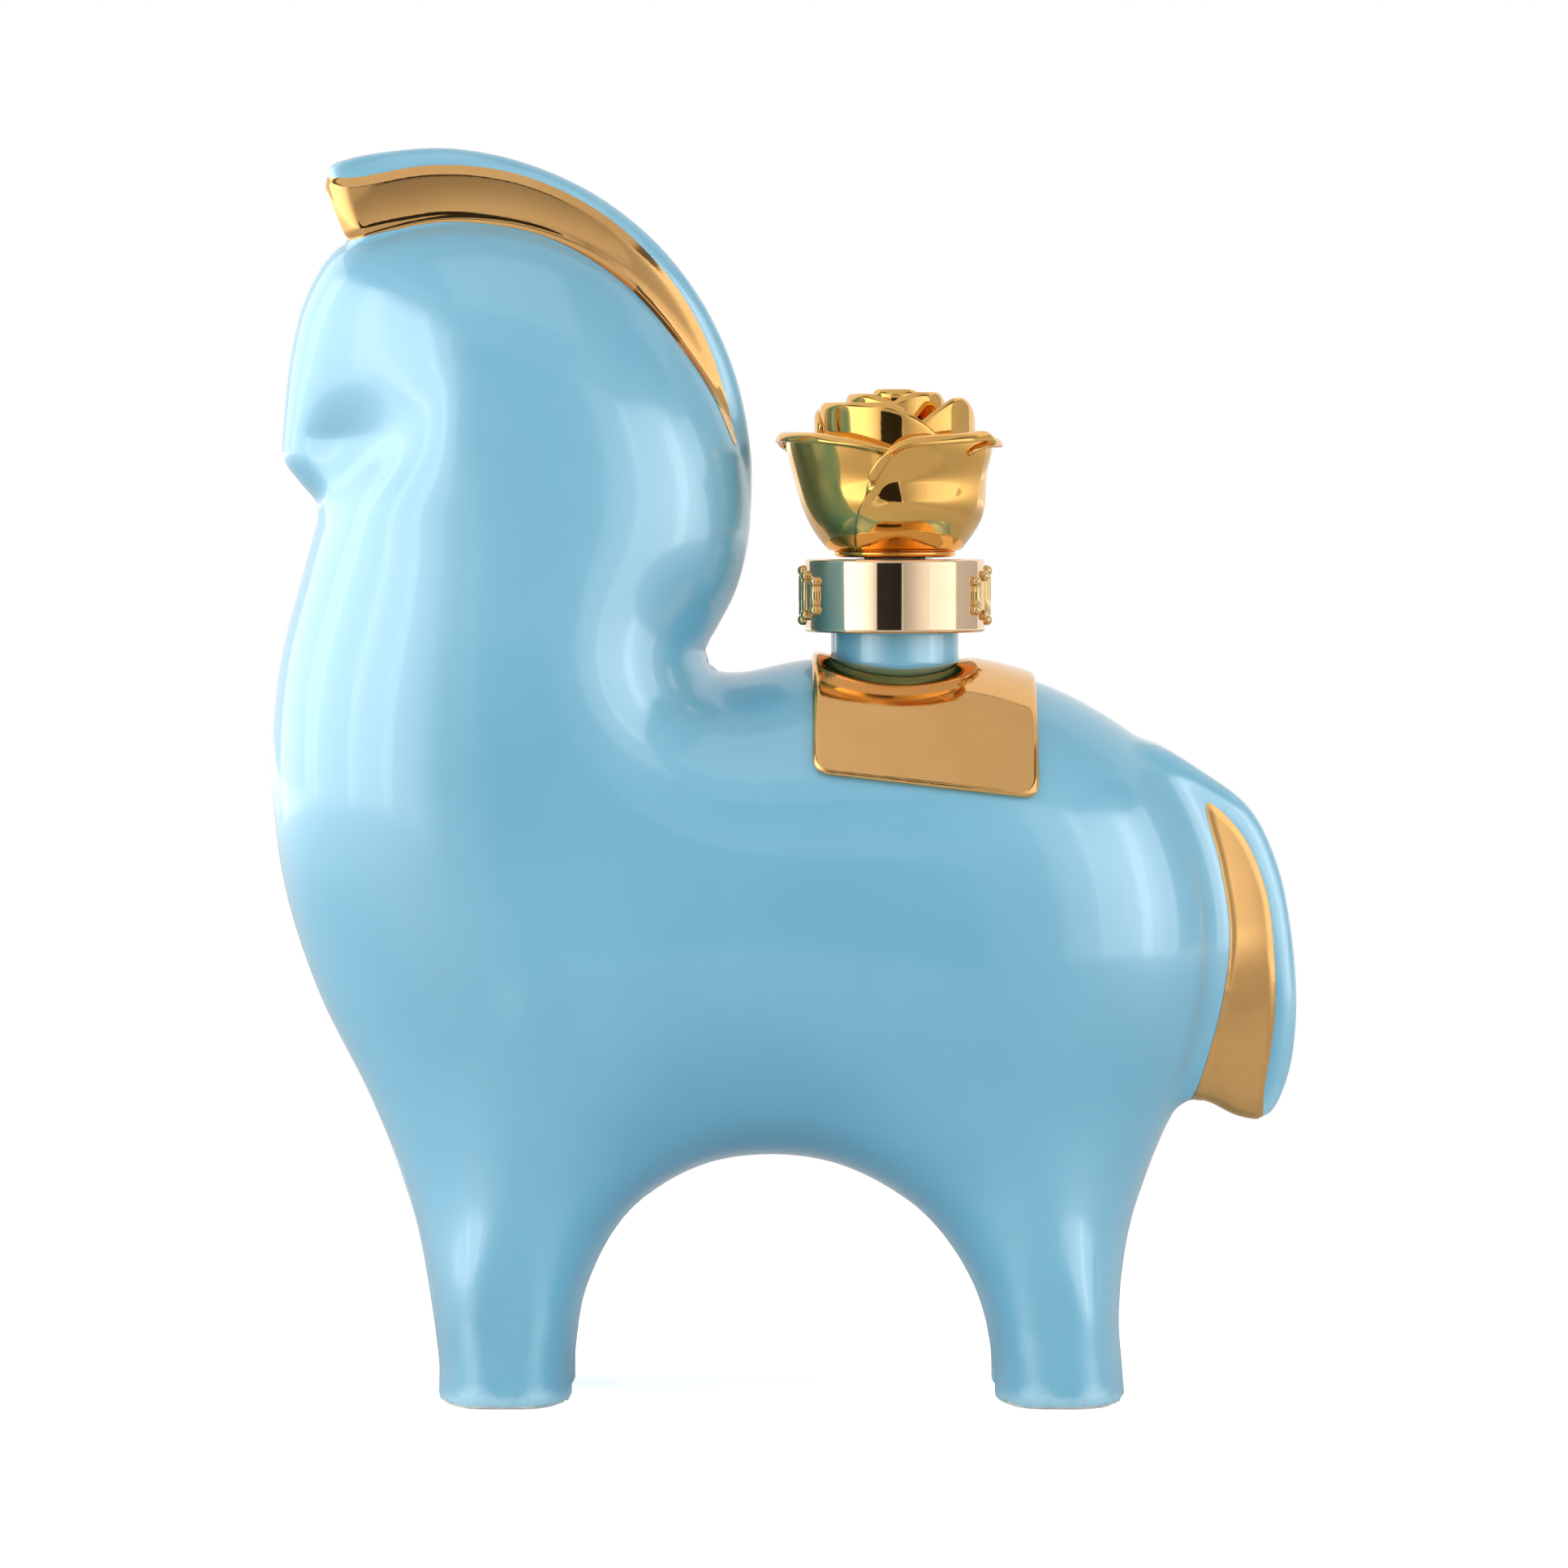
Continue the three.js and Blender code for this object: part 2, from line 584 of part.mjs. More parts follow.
function roseCup() {
  const top = footBase + roseFootHeight;
  const rim = top + cupHeight;
  const at = (share) => top + share * cupHeight;
  const floorZ = footBase + cupFloor;
  const flare = (share) => mix(cupWaist, cupRadius, Math.sin((share * Math.PI) / 2) ** cupBelly);
  const lip = cupRadius + rimCurl;
  const outside = [0.12, 0.3, 0.5, 0.72].map((share) => [flare(share), at(share), Math.min(2.5 * share, 1)]);
  const wave = petalWave(cupPetals, 0.3, 0.35, petalStep, rimWave);
  const bowl = petalled([
    [0, footBase, 0], [roseFootRadius, footBase, 0], [roseFootRadius, top - roseFootHeight / 4, 0],
    [cupWaist, top, 0], ...outside, [cupRadius, at(0.88), 1], [lip, rim - cupWall / 2, 1],
    [lip - cupWall / 3, rim, 1], [lip - cupWall, rim - cupWall / 6, 1], [cupRadius - cupWall, at(0.84), 0.8],
    [cupInside, at(0.6), 0.3], [cupInside - cupWall, floorZ, 0], [0, floorZ, 0],
  ], 40, wave);
  const socket = rod(bossRadius + fit, footBase - 1, collarTop + bossHeight + fit);
  const studHole = rod(budStud + fit, floorZ - budStudLength - fit, floorZ + 1, 16);
  return bowl.subtract(socket).subtract(studHole);
}

// The bud: rings of petals one inside the other on a round base, with a peg into the cup's floor.
function roseBud() {
  const base = footBase + cupFloor + fit;
  const height = budHeight - fit;
  const layers = [
    { radius: budRadius, top: 0.82, petals: 3, phase: 0.1 },
    { radius: budRadius * 0.7, top: 0.95, petals: 3, phase: 0.55 },
    { radius: budRadius * 0.38, top: 1, petals: 2, phase: 0.2 },
  ];
  let made = rod(Math.min(cupInside - cupWall - fit, budRadius), base, base + height * 0.3);
  made = made.add(rod(budStud, base - budStudLength, base + 1, 16));
  for (const { radius, top, petals, phase } of layers) {
    const edge = base + height * top;
    const foot = base + fit;
    const well = Math.max(radius - 2.2 * budPetal, budPetal / 3);
    const wave = petalWave(petals, phase, 0.3, petalStep, rimWave);
    made = made.add(petalled([
      [0, foot, 0], [radius * 0.78, foot, 0], [radius * 0.97, base + height * 0.35, 0.6],
      [radius, edge - height * 0.16, 1], [radius - budPetal / 3, edge - budPetal / 2, 1],
      [radius - budPetal * 0.7, edge, 1], [radius - budPetal * 1.4, edge - budPetal / 2, 1],
      [well, edge - 2 * budPetal, 0.5], [0, edge - 2.5 * budPetal, 0],
    ], 24, wave));
  }
  return made;
}

// Materials and the assembly

const finish = (color, roughness, metalness) => new THREE.MeshStandardMaterial({ color, roughness, metalness });
const blueGlaze = finish(0x86c3e2, 0.12, 0);
const brightGold = finish(0xd9a35a, 0.12, 1);
const collarGold = finish(0xecc9a0, 0.1, 1);
const roseGold = finish(0xdcb565, 0.12, 1);
const liner = finish(0xf2efe6, 0.35, 0);
const plug = finish(0xe9e6dc, 0.4, 0);
const silicone = finish(0xd8dcdc, 0.55, 0);

function piece(name, made, material) {
  const mesh = new THREE.Mesh(geometryOf(made), material);
  mesh.name = name;
  return mesh;
}

const horse = new THREE.Group();
horse.add(
  piece("bottle_shell", bottleShell(), blueGlaze),
  piece("mane_gilding", maneGilding(), brightGold),
  piece("saddle_gilding", saddleGilding(), brightGold),
  piece("tail_gilding", tailGilding(), brightGold),
);

const mouth = new THREE.Group();
mouth.position.x = neckX;
mouth.add(
  piece("bottle_neck", bottleNeck(), blueGlaze),
  piece("mouth_liner", mouthLiner(), liner),
  piece("neck_collar", neckCollar(), collarGold),
);
for (const [name, turn] of [["front", Math.PI], ["rear", 0]]) {
  const ornament = piece(`collar_ornament_${name}`, collarOrnament(), collarGold);
  ornament.rotation.z = turn;
  mouth.add(ornament);
}

const stopper = new THREE.Group();
stopper.position.x = neckX;
stopper.add(piece("plug_core", plugCore(), plug));
sealNames.forEach((name, order) => stopper.add(piece(`seal_ring_${name}`, sealRing(order), silicone)));
stopper.add(piece("rose_cup", roseCup(), roseGold), piece("rose_bud", roseBud(), roseGold));

const bottle = new THREE.Group();
bottle.add(horse, mouth, stopper);

export default bottle;
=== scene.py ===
# A glazed ceramic spirit bottle in the shape of a standing horse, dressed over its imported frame.
import json
import math

import bmesh
import bpy
import numpy as np
from mathutils import Matrix, Vector

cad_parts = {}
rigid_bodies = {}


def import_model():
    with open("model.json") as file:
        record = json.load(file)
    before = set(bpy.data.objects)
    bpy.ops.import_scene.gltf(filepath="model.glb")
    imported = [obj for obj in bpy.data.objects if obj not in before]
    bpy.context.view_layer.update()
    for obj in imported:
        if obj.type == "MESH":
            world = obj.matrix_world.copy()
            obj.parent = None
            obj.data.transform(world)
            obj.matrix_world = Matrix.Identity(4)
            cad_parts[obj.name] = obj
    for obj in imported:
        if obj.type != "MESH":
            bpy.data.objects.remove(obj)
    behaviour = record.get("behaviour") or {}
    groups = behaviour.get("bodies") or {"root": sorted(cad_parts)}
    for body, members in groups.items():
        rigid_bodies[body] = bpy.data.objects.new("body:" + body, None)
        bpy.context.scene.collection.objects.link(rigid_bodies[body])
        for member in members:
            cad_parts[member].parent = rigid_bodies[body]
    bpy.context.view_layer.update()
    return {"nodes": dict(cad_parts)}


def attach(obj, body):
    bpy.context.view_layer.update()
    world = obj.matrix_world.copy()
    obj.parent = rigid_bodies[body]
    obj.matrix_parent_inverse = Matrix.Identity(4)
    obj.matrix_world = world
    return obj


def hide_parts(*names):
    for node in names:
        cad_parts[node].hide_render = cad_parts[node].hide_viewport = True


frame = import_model()
mm = 0.001
print("frame loaded with", len(frame["nodes"]), "nodes")


def placed(name, data):
    obj = bpy.data.objects.new(name, data)
    bpy.context.collection.objects.link(obj)
    return obj


def meshFrom(bm, name):
    mesh = bpy.data.meshes.new(name)
    bm.to_mesh(mesh)
    bm.free()
    return mesh


# a node with its settings and its fixed inputs
def addNode(tree, kind, inputs=None, **settings):
    node = tree.nodes.new("ShaderNode" + kind)
    for name, value in settings.items():
        setattr(node, name, value)
    for name, value in (inputs or {}).items():
        node.inputs[name].default_value = value
    return node


# the ends of a Map Range node
def span(fromMin, fromMax, toMin, toMax):
    return {"From Min": fromMin, "From Max": fromMax, "To Min": toMin, "To Max": toMax}


def join(tree, *pairs):
    for source, target in pairs:
        tree.links.new(source, target)


def emptyTree(owner):
    owner.use_nodes = True
    owner.node_tree.nodes.clear()
    return owner.node_tree


# Camera, as far off as the photograph's, with the horse in profile
camera = {"place": (0.0, -1.6, 0.167), "aim": (0.0, 0.0, 0.1053), "lens": 213.0, "film": 36.0, "near": 0.05}


def setCamera():
    data = bpy.data.cameras.new("profileCamera")
    data.lens, data.sensor_width, data.clip_start = camera["lens"], camera["film"], camera["near"]
    obj = placed("profileCamera", data)
    obj.location = camera["place"]
    look = Vector(camera["aim"]) - Vector(camera["place"])
    obj.rotation_euler = look.to_track_quat("-Z", "Y").to_euler()
    bpy.context.scene.camera = obj


# Studio: lamps round the table for the glaze, and cards that the gold mirrors. Azimuths are in degrees from
# the camera's side, to the right, and lengths in metres
studio = {
    "middle": 0.10,
    # azimuth, away, wide, high, lift, glow
    "lamps": {
        "leftFar": (-82, 1.15, 0.7, 1.3, 0.30, 1.25),
        "leftMid": (-57, 1.15, 0.6, 1.3, 0.30, 1.95),
        "leftNear": (-38, 1.15, 0.45, 1.2, 0.30, 1.3),
        "leftFront": (-19, 1.15, 0.34, 1.2, 0.30, 0.6),
        "backLeft": (-118, 1.1, 0.9, 1.3, 0.30, 1.6),
        "rightNear": (34, 1.25, 0.4, 1.1, 0.40, 1.2),
        "rightMid": (58, 1.25, 0.8, 1.1, 0.40, 1.95),
        "rightFar": (82, 1.25, 0.7, 1.1, 0.30, 2.0),
        "topLamp": (10, 0.45, 0.9, 0.9, 1.25, 0.8),
    },
    # azimuth, away, wide, high, lift, glow from one side to the other, and how the card is hung
    "cards": {
        "cameraCard": (-7, 2.1, 1.2, 0.8, 0.06, (0.03, 0.02)),
        "frontCard": (-4, 2.3, 1.4, 1.9, 0.37, (1.3, 0.35), "rising", "framed"),
        "gapCard": (0, 2.7, 2.5, 2.9, 1.3, (0.04, 0.04)),
        "leftCard": (-77, 2.0, 2.6, 1.8, 0.5, (2.6, 2.0)),
        "leftInner": (-30, 2.2, 1.26, 1.8, 0.5, (1.9, 0.55)),
        "rightInner": (27, 2.2, 1.39, 1.8, 0.5, (0.5, 1.05)),
        "rightCard": (64, 2.0, 1.46, 1.8, 0.5, (1.25, 1.5)),
        "rightOuter": (108, 1.95, 1.74, 1.8, 0.5, (0.62, 0.55)),
        "leftUpper": (-60, 1.9, 3.2, 0.8, 1.85, (0.2, 0.1)),
        "rightUpper": (60, 1.9, 3.2, 0.8, 1.85, (0.1, 0.2)),
        "floorMiddle": (175.4, 1.602, 0.47, 5.0, -0.01, (0.6, 0.6), "flat"),
        "floorLeft": (-153.5, 1.79, 1.3, 5.0, -0.01, (2.4, 0.6), "flat"),
        "floorRight": (90, 0.95, 1.3, 5.0, -0.01, (0.5, 1.5), "flat"),
        "topCard": (0, 0.78, 2.6, 2.75, 1.55, (0.8, 0.66), "flat", "framed"),
    },
    "frame": 0.09, "frameGlow": 0.05, "frameBehind": 1.02, "ambient": 0.18,
    "floorRadius": 0.55, "floorFade": (0.096, 0.495), "floorColour": (0.93, 0.93, 0.93), "floorDrop": 0.05,
    "floorLift": 0.72, "floorMirrored": 0.15,
}


def stagePlace(azimuth, away, lift):
    turn = math.radians(azimuth)
    return Vector((away * math.sin(turn), -away * math.cos(turn), lift))


def facing(place):
    look = Vector((0, 0, studio["middle"])) - place
    return look.to_track_quat("-Z", "Y").to_euler()


def addLamps():
    lamps = []
    for name, (azimuth, away, wide, high, lift, glow) in studio["lamps"].items():
        data = bpy.data.lights.new(name, "AREA")
        data.shape = "RECTANGLE"
        data.size, data.size_y = wide, high
        data.energy = math.pi * wide * high * glow
        obj = placed(name, data)
        obj.location = stagePlace(azimuth, away, lift)
        obj.rotation_euler = facing(obj.location)
        lamps.append(obj)
    return lamps


# one card: a sheet that only reflections see, its glow going from one side to the other
def addCard(name, place, wide, high, glow, hung):
    bm = bmesh.new()
    bmesh.ops.create_grid(bm, x_segments=1, y_segments=1, size=0.5)
    bmesh.ops.scale(bm, vec=(wide, high, 1), verts=bm.verts)
    mesh = meshFrom(bm, name)
    obj = placed(name, mesh)
    obj.location = place
    if "flat" not in hung:
        obj.rotation_euler = facing(place)
    material = bpy.data.materials.new(name)
    tree = emptyTree(material)
    along, half = ("Y", high / 2) if "rising" in hung else ("X", wide / 2)
    out = addNode(tree, "OutputMaterial")
    shine = addNode(tree, "Emission")
    spot = addNode(tree, "TexCoord")
    split = addNode(tree, "SeparateXYZ")
    fall = addNode(tree, "MapRange", span(-half, half, *glow), interpolation_type="SMOOTHSTEP")
    join(
        tree, (spot.outputs["Object"], split.inputs[0]), (split.outputs[along], fall.inputs["Value"]),
        (fall.outputs[0], shine.inputs["Strength"]), (shine.outputs[0], out.inputs["Surface"]),
    )
    mesh.materials.append(material)
    obj.visible_camera = False
    obj.visible_diffuse = False
    obj.visible_shadow = False


# a framed card has a dark frame a little behind it
def addCards():
    dark, edge = studio["frameGlow"], studio["frame"]
    for name, (azimuth, away, wide, high, lift, glow, *hung) in studio["cards"].items():
        place = stagePlace(azimuth, away, lift)
        addCard(name, place, wide, high, glow, hung)
        if "framed" in hung:
            behind = place * studio["frameBehind"]
            addCard(name + "Frame", behind, wide + edge, high + edge, (dark, dark), hung)


def whiteWorld():
    world = bpy.data.worlds.new("whiteRoom")
    bpy.context.scene.world = world
    tree = emptyTree(world)
    path = addNode(tree, "LightPath")
    glossy = addNode(tree, "Math", operation="MAXIMUM")
    clear = addNode(tree, "Math", operation="MAXIMUM")
    strength = addNode(tree, "MapRange", span(0, 1, studio["ambient"], 1))
    white = addNode(tree, "Background", {"Color": (1, 1, 1, 1)})
    out = addNode(tree, "OutputWorld")
    join(
        tree,
        (path.outputs["Is Camera Ray"], glossy.inputs[0]), (path.outputs["Is Glossy Ray"], glossy.inputs[1]),
        (glossy.outputs[0], clear.inputs[0]), (path.outputs["Is Transmission Ray"], clear.inputs[1]),
        (clear.outputs[0], strength.inputs["Value"]), (strength.outputs[0], white.inputs["Strength"]),
        (white.outputs[0], out.inputs["Surface"]),
    )


# a round pale floor that fades out into the white room, and is dimmer in the gold than to the eye
def paleFloor():
    bm = bmesh.new()
    bmesh.ops.create_circle(bm, cap_ends=True, segments=96, radius=studio["floorRadius"])
    bmesh.ops.translate(bm, vec=(0, 0, -studio["floorDrop"] * mm), verts=bm.verts)
    mesh = meshFrom(bm, "floor")
    obj = placed("floor", mesh)
    material = bpy.data.materials.new("paleFloor")
    tree = emptyTree(material)
    out = addNode(tree, "OutputMaterial")
    pale = addNode(tree, "BsdfDiffuse", {"Color": (*studio["floorColour"], 1)})
    path = addNode(tree, "LightPath")
    lift = addNode(tree, "Math", {1: studio["floorLift"]}, operation="MULTIPLY")
    glow = addNode(tree, "Emission")
    lit = addNode(tree, "AddShader")
    dim = addNode(tree, "Math", {1: studio["floorMirrored"]}, operation="MULTIPLY")
    dark = addNode(tree, "BsdfDiffuse", {"Color": (0, 0, 0, 1)})
    seen = addNode(tree, "MixShader")
    place = addNode(tree, "TexCoord")
    reach = addNode(tree, "VectorMath", operation="LENGTH")
    fade = addNode(tree, "MapRange", span(*studio["floorFade"], 0, 1), interpolation_type="SMOOTHSTEP")
    bare = addNode(tree, "BsdfTransparent")
    mixed = addNode(tree, "MixShader")
    join(
        tree, (path.outputs["Is Camera Ray"], lift.inputs[0]), (lift.outputs[0], glow.inputs["Strength"]),
        (pale.outputs[0], lit.inputs[0]), (glow.outputs[0], lit.inputs[1]),
        (path.outputs["Is Glossy Ray"], dim.inputs[0]), (dim.outputs[0], seen.inputs["Fac"]),
        (lit.outputs[0], seen.inputs[1]), (dark.outputs[0], seen.inputs[2]),
        (place.outputs["Object"], reach.inputs[0]), (reach.outputs["Value"], fade.inputs["Value"]),
        (fade.outputs[0], mixed.inputs["Fac"]), (seen.outputs[0], mixed.inputs[1]),
        (bare.outputs[0], mixed.inputs[2]), (mixed.outputs[0], out.inputs["Surface"]),
    )
    mesh.materials.append(material)


setCamera()
whiteWorld()
lamps = addLamps()
addCards()
paleFloor()
bpy.context.scene.view_settings.view_transform = "Standard"
print("studio set up")


# Node groups for effects that several finishes share
def groupOf(name, inputs, outputs):
    group = bpy.data.node_groups.new(name, "ShaderNodeTree")
    for label, value in inputs.items():
        socket = group.interface.new_socket(name=label, in_out="INPUT", socket_type="NodeSocketFloat")
        socket.default_value = value
    for label in outputs:
        group.interface.new_socket(name=label, in_out="OUTPUT", socket_type="NodeSocketFloat")
    return group, group.nodes.new("NodeGroupInput"), group.nodes.new("NodeGroupOutput")


# slow swells left by the kiln and a fine skin on top of them
def firedSkin():
    sizes = {"Swell Size": 40.0, "Skin Size": 500.0, "Skin Share": 0.1}
    group, into, out = groupOf("firedSkin", sizes, ["Height"])
    place = addNode(group, "TexCoord")
    swell = addNode(group, "TexNoise", {"Detail": 1.0})
    fine = addNode(group, "TexNoise", {"Detail": 2.0})
    both = addNode(group, "Math", operation="MULTIPLY_ADD")
    join(
        group,
        (place.outputs["Object"], swell.inputs["Vector"]), (place.outputs["Object"], fine.inputs["Vector"]),
        (into.outputs["Swell Size"], swell.inputs["Scale"]),
        (into.outputs["Skin Size"], fine.inputs["Scale"]),
        (fine.outputs["Fac"], both.inputs[0]), (into.outputs["Skin Share"], both.inputs[1]),
        (swell.outputs["Fac"], both.inputs[2]), (both.outputs[0], out.inputs["Height"]),
    )
    return group


# cloudy polish: patches that are a little duller than the rest
def polishCloud():
    sizes = {"Size": 120.0, "Bright": 0.06, "Dull": 0.14}
    group, into, out = groupOf("polishCloud", sizes, ["Roughness", "Tint"])
    place = addNode(group, "TexCoord")
    cloud = addNode(group, "TexNoise", {"Detail": 4.0, "Roughness": 0.6})
    spread = addNode(group, "MapRange", {"From Min": 0.3, "From Max": 0.7})
    join(
        group,
        (place.outputs["Object"], cloud.inputs["Vector"]), (into.outputs["Size"], cloud.inputs["Scale"]),
        (cloud.outputs["Fac"], spread.inputs["Value"]), (into.outputs["Bright"], spread.inputs["To Min"]),
        (into.outputs["Dull"], spread.inputs["To Max"]), (spread.outputs[0], out.inputs["Roughness"]),
        (cloud.outputs["Fac"], out.inputs["Tint"]),
    )
    return group


firedSkinGroup = firedSkin()
polishCloudGroup = polishCloud()


def newMaterial(name):
    material = bpy.data.materials.new(name)
    material.use_nodes = True
    return material, material.node_tree, material.node_tree.nodes["Principled BSDF"]


def twoTones(tree, factor, low, high, start=0.3, end=0.7):
    tones = addNode(tree, "ValToRGB")
    for stop, place, colour in zip(tones.color_ramp.elements, (start, end), (low, high)):
        stop.position = place
        stop.color = (*colour, 1)
    tree.links.new(factor, tones.inputs["Fac"])
    return tones.outputs["Color"]


def addBump(tree, shader, height, swell, skin, share):
    sizes = {"Swell Size": swell, "Skin Size": skin, "Skin Share": share}
    fired = addNode(tree, "Group", sizes, node_tree=firedSkinGroup)
    bump = addNode(tree, "Bump", {"Distance": height, "Strength": 1.0})
    join(tree, (fired.outputs["Height"], bump.inputs["Height"]), (bump.outputs[0], shader.inputs["Normal"]))


# cloudy colour and roughness
def addPolish(tree, shader, low, high, size, bright, dull):
    sizes = {"Size": size, "Bright": bright, "Dull": dull}
    cloud = addNode(tree, "Group", sizes, node_tree=polishCloudGroup)
    tone = twoTones(tree, cloud.outputs["Tint"], low, high)
    join(tree, (tone, shader.inputs["Base Color"]), (cloud.outputs["Roughness"], shader.inputs["Roughness"]))


glaze = {
    # the pale "thin" blue stands partly for thinner glaze on outward bends and partly for a painted edge
    # sheen
    "pooled": (0.108, 0.388, 0.560), "laid": (0.140, 0.454, 0.632), "thin": (0.36, 0.66, 0.80),
    "clay": (0.80, 0.77, 0.71), "cloudSize": 22.0, "cloudDetail": 3.0, "pooledTo": 0.25, "laidFrom": 0.6,
    "soleLine": 0.9, "soleSoft": 0.15, "ragged": 1.1, "raggedSize": 420.0, "clayRough": 0.75,
    "gloss": 0.44, "ior": 1.8, "coat": 0.9, "coatGloss": 0.1,
    "swell": 36.0, "skin": 900.0, "skinShare": 0.02, "bump": 0.00012,
}


# cloudy blue glaze, paler where the surface bends outwards (partly thinner glaze, partly a painted edge
# sheen); soles of bare clay
def glazeMaterial():
    g = glaze
    material, tree, shader = newMaterial("skyGlaze")
    shader.inputs["Coat Roughness"].default_value = g["coatGloss"]
    shader.inputs["IOR"].default_value = g["ior"]
    place = addNode(tree, "TexCoord").outputs["Object"]
    cloud = addNode(tree, "TexNoise", {"Scale": g["cloudSize"], "Detail": g["cloudDetail"]})
    tone = twoTones(tree, cloud.outputs["Fac"], g["pooled"], g["laid"], g["pooledTo"], g["laidFrom"])
    # paler towards outward bends: partly thinner glaze, partly a painted edge sheen
    bend = addNode(tree, "Attribute", attribute_name="glazeThinAndSheen")
    pale = addNode(tree, "Mix", {"B": (*g["thin"], 1)}, data_type="RGBA")
    split = addNode(tree, "SeparateXYZ")
    ragged = addNode(tree, "TexNoise", {"Scale": g["raggedSize"]})
    line = addNode(tree, "Math", {1: g["ragged"] * mm}, operation="MULTIPLY_ADD")
    sole = addNode(tree, "MapRange", span((g["soleLine"] + g["soleSoft"]) * mm, g["soleLine"] * mm, 0, 1))
    ground = addNode(tree, "Mix", {"B": (*g["clay"], 1)}, data_type="RGBA")
    rough = addNode(tree, "MapRange", span(0, 1, g["gloss"], g["clayRough"]))
    coat = addNode(tree, "MapRange", span(0, 1, g["coat"], 0))
    join(
        tree, (place, cloud.inputs["Vector"]), (place, split.inputs[0]), (place, ragged.inputs["Vector"]),
        (bend.outputs["Fac"], pale.inputs["Factor"]), (tone, pale.inputs["A"]),
        (ragged.outputs["Fac"], line.inputs[0]), (split.outputs["Z"], line.inputs[2]),
        (line.outputs[0], sole.inputs["Value"]), (sole.outputs[0], ground.inputs["Factor"]),
        (pale.outputs["Result"], ground.inputs["A"]), (ground.outputs["Result"], shader.inputs["Base Color"]),
        (sole.outputs[0], rough.inputs["Value"]), (rough.outputs[0], shader.inputs["Roughness"]),
        (sole.outputs[0], coat.inputs["Value"]), (coat.outputs[0], shader.inputs["Coat Weight"]),
    )
    addBump(tree, shader, g["bump"], g["swell"], g["skin"], g["skinShare"])
    return material


# deep and bright tones, polish from shine to dull, the size of its clouds, and the ripple in it
def goldMaterial(name, deep, bright, shine, dull, cloudSize, ripple, swell=120.0, grain=3200.0, share=0.1):
    material, tree, shader = newMaterial(name)
    shader.inputs["Metallic"].default_value = 1.0
    addPolish(tree, shader, deep, bright, cloudSize, shine, dull)
    addBump(tree, shader, ripple, swell, grain, share)
    return material


def mouldedMaterial(name, low, high, rough, clear, cloudSize=300.0, depth=1.5):
    material, tree, shader = newMaterial(name)
    addPolish(tree, shader, low, high, cloudSize, rough * 0.85, rough * 1.15)
    shader.inputs["Subsurface Weight"].default_value = clear
    shader.inputs["Subsurface Scale"].default_value = depth * mm
    return material


skyGlaze = glazeMaterial()
firedGold = goldMaterial("firedGold", (0.78, 0.43, 0.150), (0.85, 0.49, 0.185), 0.04, 0.10, 60.0, 0.00003)
collarGold = goldMaterial(
    "collarGold", (0.90, 0.65, 0.42), (0.94, 0.70, 0.47), 0.04, 0.07, 90.0, 0.000006, 120.0, 900.0, 0.02
)
ornamentGold = goldMaterial(
    "ornamentGold", (0.80, 0.55, 0.24), (0.88, 0.63, 0.31), 0.05, 0.09, 160.0, 0.00001
)
roseGold = goldMaterial("roseGold", (0.82, 0.45, 0.115), (0.90, 0.52, 0.155), 0.04, 0.08, 160.0, 0.00003)
linerPlastic = mouldedMaterial("linerPlastic", (0.78, 0.77, 0.72), (0.84, 0.83, 0.79), 0.3, 0.2)
plugPlastic = mouldedMaterial("plugPlastic", (0.76, 0.75, 0.70), (0.82, 0.81, 0.77), 0.42, 0.1)
siliconeRubber = mouldedMaterial("siliconeRubber", (0.66, 0.69, 0.70), (0.74, 0.77, 0.78), 0.5, 0.4)
print("finishes mixed")


# Finished pieces
def addPiece(name, mesh, material, body, slot, *nodes):
    mesh.name = name
    mesh.materials.clear()
    mesh.materials.append(material)
    obj = placed(name, mesh)
    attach(obj, body)
    if nodes:
        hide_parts(*nodes)
    print("piece", name, len(mesh.polygons), "faces")
    return obj


def meshOf(bm, sharpAngle=40):
    mesh = meshFrom(bm, "piece")
    mesh.shade_smooth()
    mesh.set_sharp_from_angle(angle=math.radians(sharpAngle))
    return mesh


# the mesh with its modifiers applied
def applied(mesh, *modifiers):
    obj = placed("work", mesh)
    for kind, values in modifiers:
        modifier = obj.modifiers.new(kind.lower(), kind)
        for key, value in values.items():
            setattr(modifier, key, value)
    ready = obj.evaluated_get(bpy.context.evaluated_depsgraph_get())
    made = bpy.data.meshes.new_from_object(ready)
    bpy.data.objects.remove(obj)
    return made


def coordinates(mesh):
    flat = np.empty(len(mesh.vertices) * 3)
    mesh.vertices.foreach_get("co", flat)
    return flat.reshape(-1, 3) / mm


def setCoordinates(mesh, points):
    mesh.vertices.foreach_set("co", (points * mm).ravel())
    mesh.update()


